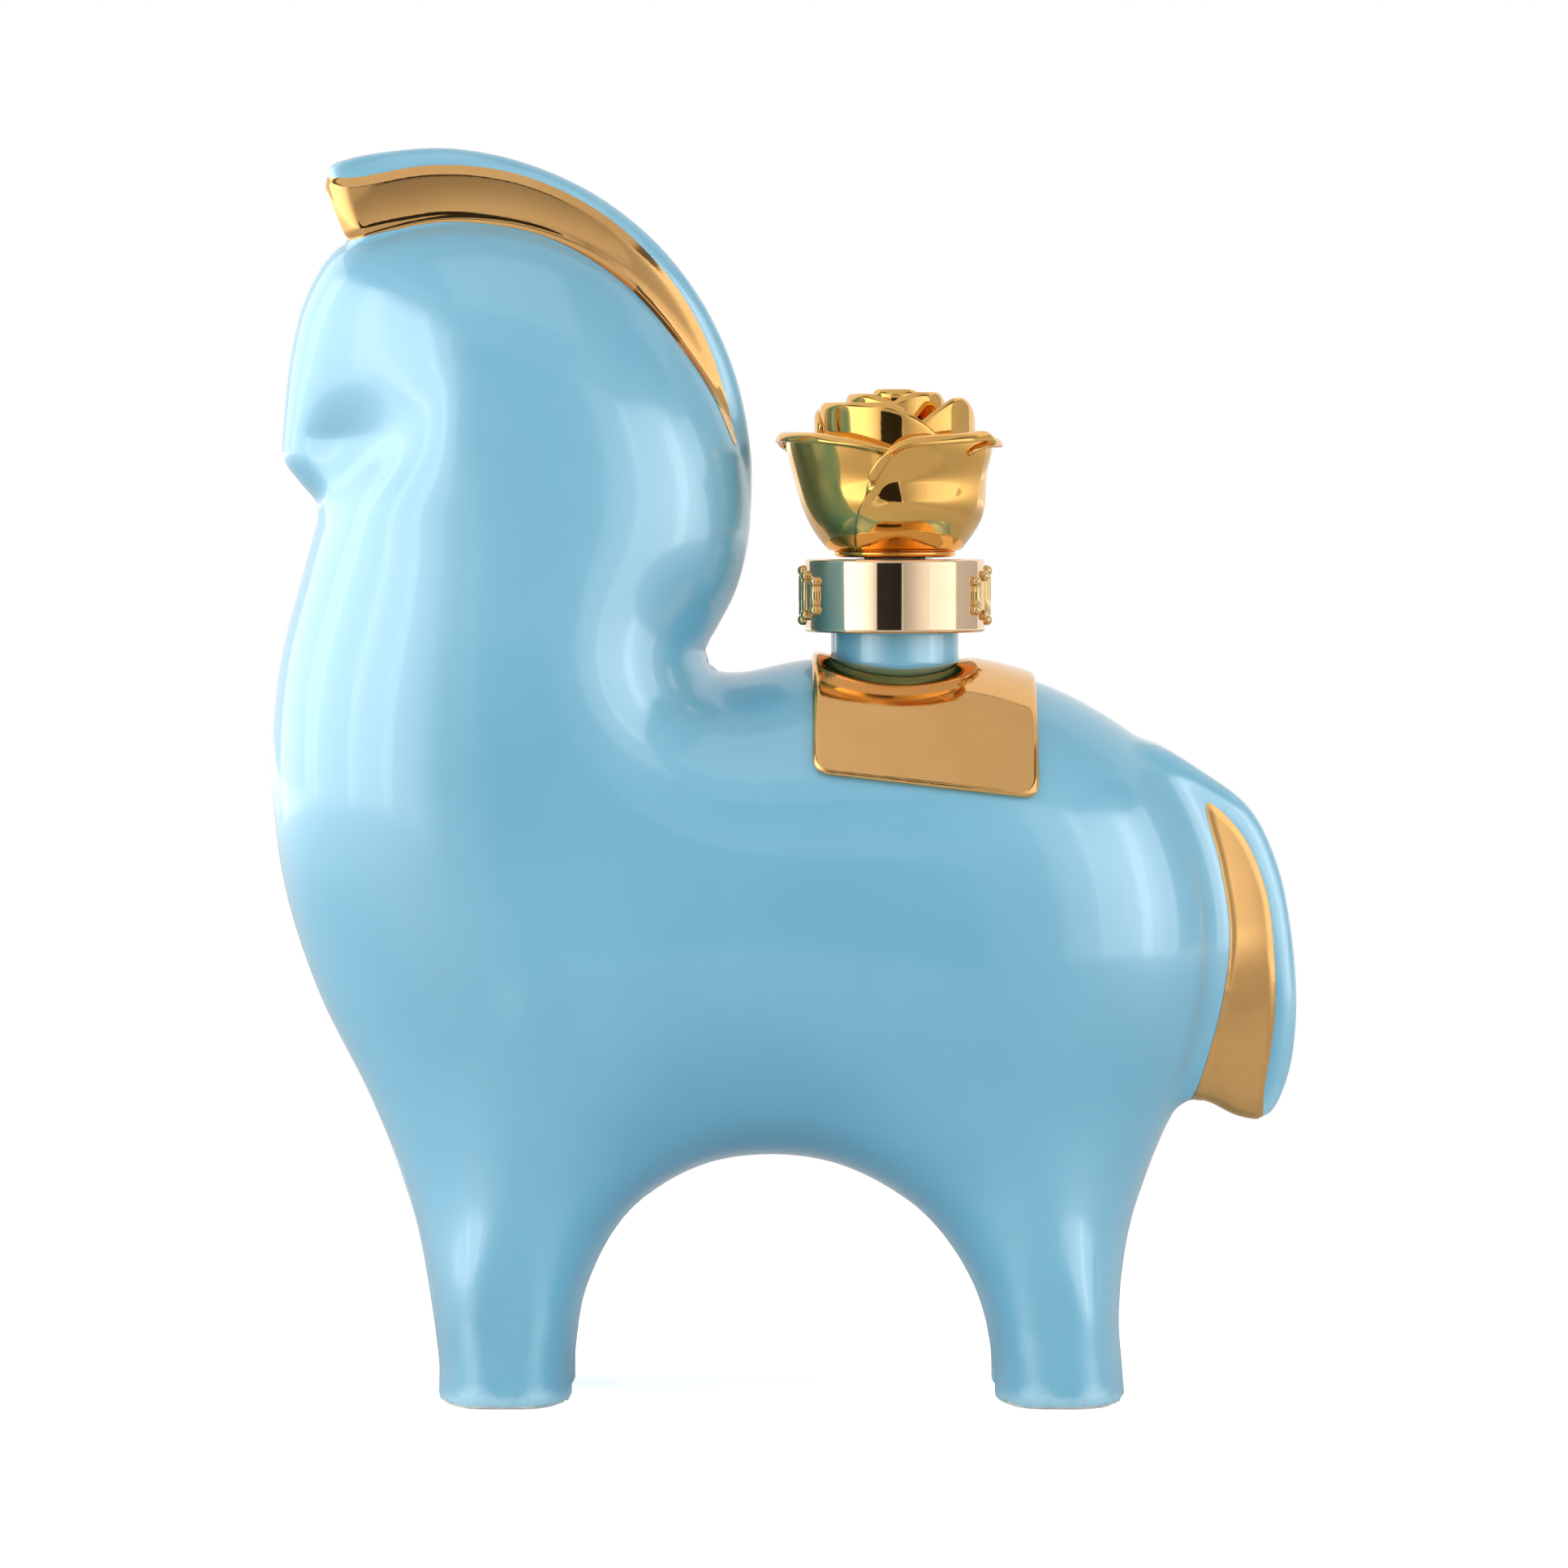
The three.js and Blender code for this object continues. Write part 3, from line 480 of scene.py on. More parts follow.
# The horse's form, in millimetres, seen from its left side as (x, z)
horse = {
    "outline": [
        (-71, 200.5), (-77.5, 197), (-82.4, 189), (-84.8, 180), (-86.2, 168), (-86.3, 161.5), (-83.4, 157.3),
        (-80.4, 153.2), (-82.3, 144), (-86.7, 127), (-88.3, 109), (-86.4, 89), (-80.5, 70), (-71.2, 51),
        (-65.1, 35), (-61.7, 19), (-60, 6), (-59.2, -12), (-36.4, -12), (-35.5, 6), (-33, 19.5),
        (-25.7, 32.3), (-14.6, 39.4), (-2, 41.4), (10.6, 39.3), (22.9, 32), (31.8, 19.5), (35.2, 6),
        (36.2, -12), (59.4, -12), (59, 4), (58.3, 15.5), (60.7, 32), (66, 46.4), (71.8, 56.6), (75.3, 74),
        (74, 91), (66.5, 108), (52, 119.2), (36, 125.2), (19, 126.8), (4, 126.8), (-8, 124.6), (-12.4, 125.3),
        (-13.6, 128.2), (-11.4, 132.6), (-8.2, 139), (-5.8, 150), (-7, 163), (-14.5, 179), (-27, 194),
        (-42, 201.5), (-57.5, 203.2),
    ],
    "trunkHalf": 35, "trunkRound": 34, "headHalf": 25, "headRound": 26, "muzzleHalf": 14, "muzzleRound": 12,
    "legHalf": 29.5, "legRound": 8, "legTop": 62, "legFoot": 12, "legGap": 18, "legGapHeight": 35,
    "legEdge": 5, "footEdge": 3, "soleDepth": 0.8, "groundEdge": 0.4,
    "headBase": 118, "headTop": 205, "throat": (150, 166), "face": (-86, -54),
    "cheekDepth": 4.8, "cheek": (-75.2, 159.6), "cheekLong": 14, "cheekOver": 11, "cheekUnder": 5.4,
    "cheekTilt": 0.8, "crestOff": (-3, 14), "innerWall": 3.2, "probe": 0.05,
    # thinFrom, thinTo and thinBlur: the bends where the glaze starts and stops paling (partly a painted edge
    # sheen), and its blur
    "voxel": 1.05, "pull": 3, "relax": 7, "thinFrom": 0.035, "thinTo": 0.22, "thinBlur": 4,
}
mane = {
    "outline": [
        (-74, 198), (-78.6, 209.6), (-78, 211.7), (-75.5, 212.8), (-67, 214.3), (-57, 214.7), (-45, 212.4),
        (-32.6, 206.9), (-21.9, 198.5), (-13.8, 188), (-8.4, 176), (-5.9, 164), (-5.9, 158), (-7.6, 151.5),
        (-13, 152), (-18, 166), (-27, 180), (-40, 191), (-56, 195), (-70, 192.5),
    ],
    "half": 7.5, "edge": 3.1, "crease": 1.6, "lean": 0.15, "crown": 0.24, "middle": 4.2, "reach": 4.5,
    "thinFrom": -30, "thin": 0.006,
}
tail = {
    "outline": [
        (62, 112), (74, 106.3), (80.4, 101), (85, 91.5), (87.6, 78), (88.2, 65), (86.6, 54.5), (83.2, 48.4),
        (78.5, 48.6), (72.5, 51.4), (66, 52), (61, 60), (66, 80), (58, 100),
    ],
    "half": 8.6, "edge": 3.3, "crease": 3.4, "lean": 0.27, "crown": -0.36, "middle": 5.0, "reach": 4.5,
    "thinFrom": 0, "thin": 0,
}
neck = {
    "x": 19.1, "radius": 11, "flare": 1.4, "bore": 8, "hole": 9.4, "holeFloor": 88, "holeEdge": 0.5,
    "wellRadius": 13, "wellDepth": 2.6, "wellEdge": 0.8, "root": 2.6, "footRim": 0.5,
    "fillet": [(0.55, 1.3), (0.15, 2.2), (0, 3.4)], "lipOuter": 1.2, "lipInner": 0.8,
    "crown": 126.8, "show": 4.8, "collarHeight": 12.6, "collarPlate": 1.8, "fit": 0.3, "linerFlange": 1.0,
}
neck["wellFloor"] = neck["crown"] - neck["wellDepth"]
neck["collarBase"] = neck["crown"] + neck["show"]
neck["collarTop"] = neck["collarBase"] + neck["collarHeight"]
neck["lip"] = neck["collarTop"] - neck["collarPlate"] - neck["linerFlange"] - 2 * neck["fit"]


# a smooth closed outline through the points
def roundOutline(points, steps):
    here = np.array(points, float)
    before, after, last = np.roll(here, 1, 0), np.roll(here, -1, 0), np.roll(here, -2, 0)
    pairs = ((before, here), (here, after), (after, last))
    gap = [np.sqrt(np.linalg.norm(b - a, axis=1))[:, None] for a, b in pairs]
    leave = (here - before) / gap[0] - (after - before) / (gap[0] + gap[1]) + (after - here) / gap[1]
    arrive = (after - here) / gap[1] - (last - here) / (gap[1] + gap[2]) + (last - after) / gap[2]
    leave, arrive = leave * gap[1], arrive * gap[1]
    rows = []
    for t in np.arange(steps) / steps:
        rows.append(
            here * (2 * t**3 - 3 * t**2 + 1) + leave * (t**3 - 2 * t**2 + t)
            + after * (3 * t**2 - 2 * t**3) + arrive * (t**3 - t**2)
        )
    return np.stack(rows, 1).reshape(-1, 2)


# a smooth stand-in for the distance to an outline, positive inside it
def depthInOutline(outline, x, z, chunk=4000):
    depth = np.empty(x.shape)
    a, b = np.roll(outline, 1, 0), outline
    length = np.linalg.norm(b - a, axis=1)
    along = (b - a) / length[:, None]
    for part in np.array_split(np.arange(x.size), max(1, x.size // chunk)):
        dx, dz = a[:, 0] - x.flat[part][:, None], a[:, 1] - z.flat[part][:, None]
        start = dx * along[:, 0] + dz * along[:, 1]
        square = (dx * along[:, 1] - dz * along[:, 0]) ** 2 + 1e-6
        end = start + length
        total = ((end / np.sqrt(square + end**2) - start / np.sqrt(square + start**2)) / square).sum(1)
        px, pz = x.flat[part][:, None], z.flat[part][:, None]
        cross = (a[:, 1] > pz) != (b[:, 1] > pz)
        slope = (b[:, 0] - a[:, 0]) / np.where(b[:, 1] == a[:, 1], 1e-9, b[:, 1] - a[:, 1])
        inside = (cross & (px < a[:, 0] + (pz - a[:, 1]) * slope)).sum(1) % 2 == 1
        depth.flat[part] = np.where(inside, 1, -1) * np.sqrt(2 / total)
    return depth


# the same distance kept on a square map, and read back smoothly between its places
def depthMap(points, fine=5, step=1.0, margin=9.0):
    outline = roundOutline(points, fine)
    low = outline.min(0) - margin
    count = np.ceil((outline.max(0) + margin - low) / step).astype(int) + 1
    x, z = np.meshgrid(*[low[k] + step * np.arange(count[k]) for k in (0, 1)], indexing="ij")
    return {"low": low, "step": step, "values": depthInOutline(outline, x, z)}


def readMap(chart, x, z):
    values = chart["values"]
    u, v = (x - chart["low"][0]) / chart["step"], (z - chart["low"][1]) / chart["step"]
    i = np.clip(np.floor(u).astype(int), 1, values.shape[0] - 3)
    j = np.clip(np.floor(v).astype(int), 1, values.shape[1] - 3)
    weights = []
    for t in (np.clip(u - i, -1, 2), np.clip(v - j, -1, 2)):
        weights.append([
            (-t**3 + 2 * t**2 - t) / 2, (3 * t**3 - 5 * t**2 + 2) / 2,
            (-3 * t**3 + 4 * t**2 + t) / 2, (t**3 - t**2) / 2,
        ])
    places = [(p, q) for p in range(4) for q in range(4)]
    return sum(weights[0][p] * weights[1][q] * values[i + p - 1, j + q - 1] for p, q in places)


def ramp(low, high, value):
    t = np.clip((value - low) / (high - low), 0, 1)
    return t * t * (3 - 2 * t)


def blend(a, b, share):
    return a + (b - a) * share


def softMin(a, b, radius):
    share = np.maximum(radius - np.abs(a - b), 0) / radius
    return np.minimum(a, b) - share * share * radius / 4


def softMax(a, b, radius):
    return -softMin(-a, -b, radius)


horseMap = depthMap(horse["outline"])
maneMap = depthMap(mane["outline"])
tailMap = depthMap(tail["outline"])
print("outlines charted")


def halfWidthSquared(x, z):
    h = horse
    legs = 1 - ramp(h["legFoot"], h["legTop"], z)
    head = ramp(h["headBase"], h["headTop"], z)
    muzzle = ramp(*h["throat"], z) * (1 - ramp(*h["face"], x))
    sizes = []
    for key in ("Half", "Round"):
        size = blend(blend(h["trunk" + key], h["head" + key], head), h["muzzle" + key], muzzle)
        sizes.append(blend(size, h["leg" + key], legs))
    half, turn = sizes
    share = np.minimum(readMap(horseMap, x, z) / turn, 1)
    cos, sin = math.cos(h["cheekTilt"]), math.sin(h["cheekTilt"])
    dx, dz = x - h["cheek"][0], z - h["cheek"][1]
    along, across = dx * cos + dz * sin, dz * cos - dx * sin
    reach = np.where(across > 0, h["cheekOver"], h["cheekUnder"])
    hollow = h["cheekDepth"] * np.exp(-((along / h["cheekLong"]) ** 2) - (across / reach) ** 2)
    full = half * half * share * (2 - share)
    return np.where(full > 0, full * (1 - hollow / half) ** 2, full)


# about how far inside the horse's body a point is
def bodyDepth(x, y, z):
    h, step = horse, horse["probe"]
    square = halfWidthSquared(x, z)
    slopeX = (halfWidthSquared(x + step, z) - square) / step
    slopeZ = (halfWidthSquared(x, z + step) - square) / step
    cushion = (square - y * y) / (np.sqrt(slopeX**2 + slopeZ**2 + 4 * y * y) + 1e-3)
    rise = np.maximum(z, 0) / h["legGapHeight"]
    between = np.where(
        rise < 1, h["legGap"] / 2 * np.sqrt(np.maximum(1 - rise * rise, 0)), -(rise - 1) * h["legGapHeight"]
    )
    standing = softMin(cushion, np.abs(y) - between, h["legEdge"])
    return softMin(standing, z + h["soleDepth"], h["footEdge"])


# the crest of the mane or the tail: a plate with rounded edges, whose crowned or dished sides lean in as it
# stands off the body
def crestDepth(crest, chart, x, y, z):
    edge = crest["edge"]
    edgewise = readMap(chart, x, z)
    off = np.clip(-readMap(horseMap, x, z), *horse["crestOff"]) - crest["middle"]
    half = crest["half"] - crest["thin"] * np.maximum(x - crest["thinFrom"], 0) ** 2
    sideways = half - crest["lean"] * off - crest["crown"] * (off / crest["reach"]) ** 2 - np.abs(y)
    rounded = edge - np.hypot(np.maximum(edge - edgewise, 0), np.maximum(edge - sideways, 0))
    return np.where((edgewise < edge) | (sideways < edge), rounded, np.minimum(edgewise, sideways))


def skinDepth(x, y, z):
    off = np.hypot(x - neck["x"], y)
    well = np.maximum(off - neck["wellRadius"], neck["wellFloor"] - z)
    depth = softMin(bodyDepth(x, y, z), well, neck["wellEdge"])
    depth = softMax(depth, crestDepth(mane, maneMap, x, y, z), mane["crease"])
    depth = softMax(depth, crestDepth(tail, tailMap, x, y, z), tail["crease"])
    depth = softMin(depth, np.maximum(off - neck["hole"], neck["holeFloor"] - z), neck["holeEdge"])
    return softMin(depth, z, horse["groundEdge"])


def slopeOf(depth, points):
    step = horse["probe"]
    x, y, z = points.T
    ahead = np.stack([depth(x + step, y, z), depth(x, y + step, z), depth(x, y, z + step)], 1)
    return (ahead - depth(x, y, z)[:, None]) / step


# moves points square on to the surface where the depth is zero
def pullOnTo(depth, points, rounds, most=1.5):
    for _ in range(rounds):
        here, slope = depth(*points.T), slopeOf(depth, points)
        size = np.maximum((slope**2).sum(1), 1e-4)
        away = np.clip(here / np.sqrt(size), -most, most) / np.sqrt(size)
        points = points - slope * away[:, None]
    return points


# evens out the spacing of the points
def relaxed(points, edges, share=0.5):
    count = np.bincount(edges.ravel(), minlength=len(points))[:, None]
    total = np.stack([
        np.bincount(edges[:, 0], points[edges[:, 1], k], len(points))
        + np.bincount(edges[:, 1], points[edges[:, 0], k], len(points)) for k in range(3)
    ], 1)
    return points + share * (total / np.maximum(count, 1) - points)


def edgesOf(mesh):
    pairs = np.empty(len(mesh.edges) * 2, dtype=np.int64)
    mesh.edges.foreach_get("vertices", pairs)
    return pairs.reshape(-1, 2)


# how sharply the surface bends outwards at each point, for the glaze
def bendOf(mesh):
    points, edges = coordinates(mesh), edgesOf(mesh)
    normals = np.empty(len(points) * 3)
    mesh.vertices.foreach_get("normal", normals)
    normals = normals.reshape(-1, 3)
    lap = points - relaxed(points, edges, 1.0)
    bend = (lap * normals).sum(1) * 2 / horse["voxel"] ** 2
    for _ in range(horse["thinBlur"]):
        bend = relaxed(bend[:, None].repeat(3, 1), edges)[:, 0]
    return bend


# stores how pale the glaze is at each point: partly thinner glaze, partly a painted edge sheen
def paintThinAndSheen(mesh, values):
    layer = mesh.attributes.new("glazeThinAndSheen", "FLOAT", "POINT")
    layer.data.foreach_set("value", values.astype(np.float32))


def welded(mesh, weld):
    bm = bmesh.new()
    bm.from_mesh(mesh)
    bmesh.ops.remove_doubles(bm, verts=bm.verts, dist=weld * mm)
    return bm


def newPoints(extruded):
    return [v for v in extruded["geom"] if isinstance(v, bmesh.types.BMVert)]


# an even mesh made from a rough one and drawn on to a form, the surface where the depth is zero
def drawnOn(rough, depth, form):
    mesh = applied(rough, ("REMESH", {"mode": "VOXEL", "voxel_size": form["voxel"] * mm}))
    edges = edgesOf(mesh)
    points = pullOnTo(depth, coordinates(mesh), form["pull"])
    for _ in range(form["relax"]):
        points = pullOnTo(depth, relaxed(points, edges), 1)
    points = pullOnTo(depth, points, 2)
    print(rough.name, "off its form by at most", round(float(np.abs(depth(*points.T)).max()), 3), "mm")
    setCoordinates(mesh, points)
    mesh.shade_smooth()
    return mesh


def horseMesh():
    bm = welded(frame["nodes"]["bottle_shell"].data, 0.01)
    # the inner wall goes, and the hole in the back is closed lower down
    centres = np.array([f.calc_center_median() for f in bm.faces]) / mm
    deep = bodyDepth(*centres.T) > horse["innerWall"]
    bm.faces.ensure_lookup_table()
    bmesh.ops.delete(bm, geom=[bm.faces[i] for i in np.flatnonzero(deep)], context="FACES")
    rim = [e for e in bm.edges if e.is_boundary]
    cap = bmesh.ops.edgeloop_fill(bm, edges=rim)["faces"]
    sunk = bmesh.ops.extrude_face_region(bm, geom=cap)
    bmesh.ops.delete(bm, geom=cap, context="FACES_ONLY")
    down = (neck["holeFloor"] - neck["wellFloor"]) * mm
    bmesh.ops.translate(bm, vec=(0, 0, down), verts=newPoints(sunk))
    bmesh.ops.recalc_face_normals(bm, faces=bm.faces)
    mesh = drawnOn(meshFrom(bm, "horse"), skinDepth, horse)
    # the glaze pales on outward bends: partly thinner glaze, partly a painted edge sheen
    paintThinAndSheen(mesh, ramp(horse["thinFrom"], horse["thinTo"], bendOf(mesh)))
    return mesh


horseSkin = addPiece("horse_body", horseMesh(), skyGlaze, "bottle", "blue_glaze", "bottle_shell")


# Gold fired on to the mane and the tail: a thin layer over the skin, cut to its outline
maneGold = {
    "outline": [
        (-86, 208.4), (-73, 209.7), (-62, 211.6), (-52, 211.4), (-42, 209), (-30, 202.6), (-19, 191.6),
        (-12.4, 179.5), (-8.2, 163.6), (-12, 172), (-16.2, 178.7), (-26.8, 191), (-40.3, 199.3), (-56.8, 202),
        (-67, 200.6), (-76, 198.6), (-86, 197.6),
    ],
    "reach": 10.5, "proud": 0.08, "buried": 0.8, "pad": 0.4, "padEdge": 1.6,
}
tailGold = {
    "outline": [
        (72.6, 102.4), (78.2, 97.6), (82.6, 88.1), (84.3, 76), (84.3, 65), (82.6, 53), (81, 42),
        (67.5, 43), (71.2, 53.8), (75.2, 68), (76.6, 80), (75, 91.3),
    ],
    "reach": 11.6, "proud": 0.08, "buried": 0.8, "pad": 0.34, "padEdge": 1.1,
}


# an upright prism of an outline, across the horse
def prismMesh(outline, half):
    bm = bmesh.new()
    ring = [bm.verts.new((x * mm, -half * mm, z * mm)) for x, z in outline]
    face = bm.faces.new(ring)
    pushed = bmesh.ops.extrude_face_region(bm, geom=[face])
    bmesh.ops.translate(bm, vec=(0, 2 * half * mm, 0), verts=newPoints(pushed))
    bmesh.ops.recalc_face_normals(bm, faces=bm.faces)
    return meshFrom(bm, "prism")


# the part of a mesh near an outline, as a thin solid layer that swells away from its edge
def layerMesh(source, outline, panel, around=2.5, spare=2):
    bm = bmesh.new()
    bm.from_mesh(source)
    centres = np.array([f.calc_center_median() for f in bm.faces]) / mm
    near = depthInOutline(outline, centres[:, 0].copy(), centres[:, 2].copy()) > -around
    keep = near & (np.abs(centres[:, 1]) < panel["reach"] + spare)
    bm.faces.ensure_lookup_table()
    bmesh.ops.delete(bm, geom=[bm.faces[i] for i in np.flatnonzero(~keep)], context="FACES")
    bmesh.ops.subdivide_edges(bm, edges=bm.edges, cuts=2, use_grid_fill=True)
    mesh = meshFrom(bm, "layer")
    points = pullOnTo(skinDepth, coordinates(mesh), 2)
    inside = depthInOutline(outline, points[:, 0].copy(), points[:, 2].copy())
    slope = slopeOf(skinDepth, points)
    swell = panel["pad"] * ramp(0, panel["padEdge"], inside) / np.linalg.norm(slope, axis=1)
    setCoordinates(mesh, points - slope * swell[:, None])
    thick = panel["proud"] + panel["buried"]
    return applied(mesh, ("SOLIDIFY", {"thickness": thick * mm, "offset": 2 * panel["proud"] / thick - 1}))


def cutTo(mesh, cutter):
    tool = placed("cutter", cutter)
    made = applied(mesh, ("BOOLEAN", {"object": tool, "operation": "INTERSECT", "solver": "EXACT"}))
    bpy.data.objects.remove(tool)
    return made


def goldLayer(panel):
    outline = roundOutline(panel["outline"], 8)
    layer = layerMesh(horseSkin.data, outline, panel)
    made = cutTo(layer, prismMesh(outline, panel["reach"]))
    bm = welded(made, 0.02)
    bmesh.ops.dissolve_degenerate(bm, edges=bm.edges, dist=0.01 * mm)
    return meshOf(bm)


addPiece("mane_gold", goldLayer(maneGold), firedGold, "bottle", "fired_gold", "mane_gilding")
addPiece("tail_gold", goldLayer(tailGold), firedGold, "bottle", "fired_gold", "tail_gilding")


# The saddle: a raised pad with a rolled edge, sunk round the foot of the neck
saddle = {
    "front": 4.8, "length": 38.5, "drop": 18.5, "slope": 4.5, "rise": 1.35, "buried": 0.8, "edge": 1.1,
    "sideEdge": 1.0, "corner": 3.0, "wellLap": 0.2, "underEdge": 0.3, "voxel": 0.5, "pull": 4, "relax": 6,
}


def saddleDepth(x, y, z):
    s = saddle
    low = neck["crown"] - s["drop"] - s["slope"] * (x - s["front"]) / s["length"]
    sides = softMin(x - s["front"], s["front"] + s["length"] - x, s["sideEdge"])
    flap = softMin(sides, z - low, s["corner"])
    body = bodyDepth(x, y, z)
    pad = softMin(body + s["rise"], flap, s["edge"])
    off = np.hypot(x - neck["x"], y)
    pad = softMin(pad, off - neck["wellRadius"] + s["wellLap"], s["edge"])
    return softMin(pad, s["buried"] - body, s["underEdge"])


def saddleMesh():
    bm = welded(frame["nodes"]["saddle_gilding"].data, 0.01)
    return drawnOn(meshFrom(bm, "saddle"), saddleDepth, saddle)


addPiece("saddle_gold", saddleMesh(), firedGold, "bottle", "fired_gold", "saddle_gilding")


# Turned pieces on the neck's axis, from half profiles of (radius, height)
def spinRound(bm, geom, steps):
    bmesh.ops.spin(
        bm, geom=geom, cent=(0, 0, 0), axis=(0, 0, 1), dvec=(0, 0, 0),
        angle=2 * math.pi, steps=steps, use_merge=True, use_duplicate=False,
    )


# merges what meets, turns the faces outwards and sets the piece on the neck's axis
def closeUp(bm, weld, lift=0):
    bmesh.ops.remove_doubles(bm, verts=bm.verts, dist=weld * mm)
    bmesh.ops.recalc_face_normals(bm, faces=bm.faces)
    bmesh.ops.translate(bm, vec=(neck["x"] * mm, 0, lift * mm), verts=bm.verts)


def turnedMesh(profile, bevels, steps=96):
    bm = bmesh.new()
    ring = [bm.verts.new((r * mm, 0, z * mm)) for r, z in profile]
    for a, b in zip(ring, ring[1:]):
        bm.edges.new((a, b))
    if profile[0][0] > 0:
        bm.edges.new((ring[-1], ring[0]))
    for corner, width in bevels:
        bmesh.ops.bevel(
            bm, geom=[ring[corner]], offset=width * mm, segments=5, profile=0.5, affect="VERTICES",
            material=-1,
        )
    spinRound(bm, bm.verts[:] + bm.edges[:], steps)
    closeUp(bm, 0.005)
    return meshOf(bm)


def neckMesh():
    n = neck
    seat = n["wellFloor"] + n["fit"]
    foot, spigot, root = n["radius"] + n["flare"], n["hole"] - n["fit"], seat - n["root"]
    return turnedMesh([
        (n["bore"], root), (spigot, root), (spigot, seat), (foot, seat), (foot, seat + n["footRim"]),
        *[(n["radius"] + out, seat + up) for out, up in n["fillet"]],
        (n["radius"], n["lip"]), (n["bore"], n["lip"]),
    ], [(8, n["lipOuter"]), (9, n["lipInner"])])


def addNeck():
    mesh = neckMesh()
    paintThinAndSheen(mesh, np.zeros(len(mesh.vertices)))
    addPiece("neck", mesh, skyGlaze, "bottle", "blue_glaze", "bottle_neck")


addNeck()

collar = {"radius": 15.55, "edge": 0.55, "bore": 11.3, "mouth": 6.7, "hold": 0.75, "inner": 0.3}


def collarMesh():
    base, top, plate = neck["collarBase"], neck["collarTop"], neck["collarPlate"]
    radius, edge, hold, inner = collar["radius"], collar["edge"], collar["hold"], collar["inner"]
    return turnedMesh([
        (collar["bore"], base), (radius, base), (radius, base + hold), (radius, top - hold), (radius, top),
        (collar["mouth"], top), (collar["mouth"], top - plate), (collar["bore"], top - plate),
    ], [(0, inner), (1, edge), (4, edge), (5, inner), (6, inner)], 128)


addPiece("collar", collarMesh(), collarGold, "bottle", "collar_gold", "neck_collar")

liner = {"outer": 7.7, "inner": 6.7, "length": 17.0, "flange": 10.2, "edges": [0.2, 0.3, 0.2, 0.25, 0.3]}


def linerMesh():
    top = neck["collarTop"] - neck["collarPlate"] - neck["fit"]
    under = top - neck["linerFlange"]
    low = under - liner["length"]
    return turnedMesh([
        (liner["inner"], low), (liner["outer"], low), (liner["outer"], under),
        (liner["flange"], under), (liner["flange"], top), (liner["inner"], top),
    ], zip((0, 1, 3, 4, 5), liner["edges"]))


addPiece("liner", linerMesh(), linerPlastic, "bottle", "liner_plastic", "mouth_liner")
print("mouth made")


# A cast ornament on each side of the collar: upright flutes between beads, longest in the middle
ornament = {
    "seat": 15.6, "width": 17.6, "height": 10.4, "rise": 1.2, "bead": 0.95, "flute": 0.75, "sides": 2,
    "step": 0.9, "backing": 0.5,
}


def ornamentMesh(turn):
    o = ornament
    middle = neck["collarBase"] + neck["collarHeight"] / 2
    spread = o["width"] / 2 / o["seat"]
    low = o["height"] / 2 - o["bead"] - o["sides"] * o["step"]
    bm = bmesh.new()
    # the backing, bent round the collar
    sheet = bmesh.ops.create_grid(bm, x_segments=24, y_segments=6, size=1)["verts"]
    for v in sheet:
        angle = v.co.x * (spread - o["bead"] / o["seat"])
        v.co = Vector((o["seat"] * math.cos(angle), o["seat"] * math.sin(angle), v.co.y * low)) * mm
    backing = list({f for v in sheet for f in v.link_faces})
    bmesh.ops.recalc_face_normals(bm, faces=backing)
    bmesh.ops.solidify(bm, geom=backing, thickness=-o["backing"] * o["rise"] * mm)
    proud = o["seat"] + o["rise"] - o["bead"]
    for order in range(-o["sides"], o["sides"] + 1):
        angle = order / o["sides"] * (spread - o["bead"] / o["seat"])
        reach = low + (o["sides"] - abs(order)) * o["step"]
        spot = Vector((proud * math.cos(angle), proud * math.sin(angle), 0))
        flute = bmesh.ops.create_uvsphere(bm, u_segments=20, v_segments=14, radius=o["flute"] * mm)["verts"]
        stretch = (reach - o["bead"] / 2 - o["flute"]) * mm
        bmesh.ops.translate(bm, vec=(0, 0, stretch), verts=[v for v in flute if v.co.z > 1e-6])
        bmesh.ops.translate(bm, vec=(0, 0, -stretch), verts=[v for v in flute if v.co.z < -1e-6])
        bmesh.ops.translate(bm, vec=spot * mm, verts=flute)
        for end in (-1, 1):
            bead = bmesh.ops.create_uvsphere(bm, u_segments=20, v_segments=14, radius=o["bead"] * mm)["verts"]
            bmesh.ops.translate(bm, vec=(spot + Vector((0, 0, end * reach))) * mm, verts=bead)
    bmesh.ops.rotate(bm, verts=bm.verts, cent=(0, 0, 0), matrix=Matrix.Rotation(turn, 3, "Z"))
    bmesh.ops.translate(bm, vec=(neck["x"] * mm, 0, middle * mm), verts=bm.verts)
    return meshOf(bm)


for end, turn in (("front", math.pi), ("rear", 0)):
    node = "collar_ornament_" + end
    addPiece("ornament_" + end, ornamentMesh(turn), ornamentGold, "bottle", "collar_gold", node)

# The stopper: a moulded plug with three seal rings, under a cast rose
plug = {"radius": 5.3, "length": 18.5, "boss": 5.0, "groove": 3.2, "tip": 1.0, "edge": 0.15}
seals = {"section": 1.3, "pitch": 4.6, "start": 6.2, "centre": 5.1, "names": ("upper", "middle", "lower")}


def sealHeight(order):
    return neck["collarTop"] - seals["start"] - order * seals["pitch"]


def plugMesh():
    end, top = neck["collarTop"] - plug["length"], neck["collarTop"] + plug["boss"]
    half = seals["section"] + neck["fit"]
    profile = [(0, end), (plug["radius"] - plug["tip"], end), (plug["radius"], end + plug["tip"])]
    for order in (2, 1, 0):
        height = sealHeight(order)
        profile += [(plug["radius"], height - half), (plug["groove"], height - half)]
        profile += [(plug["groove"], height + half), (plug["radius"], height + half)]
    profile += [(plug["radius"], top), (0, top)]
    return turnedMesh(profile, [(i, plug["edge"]) for i in range(3, 15) if i % 4 in (2, 3)])


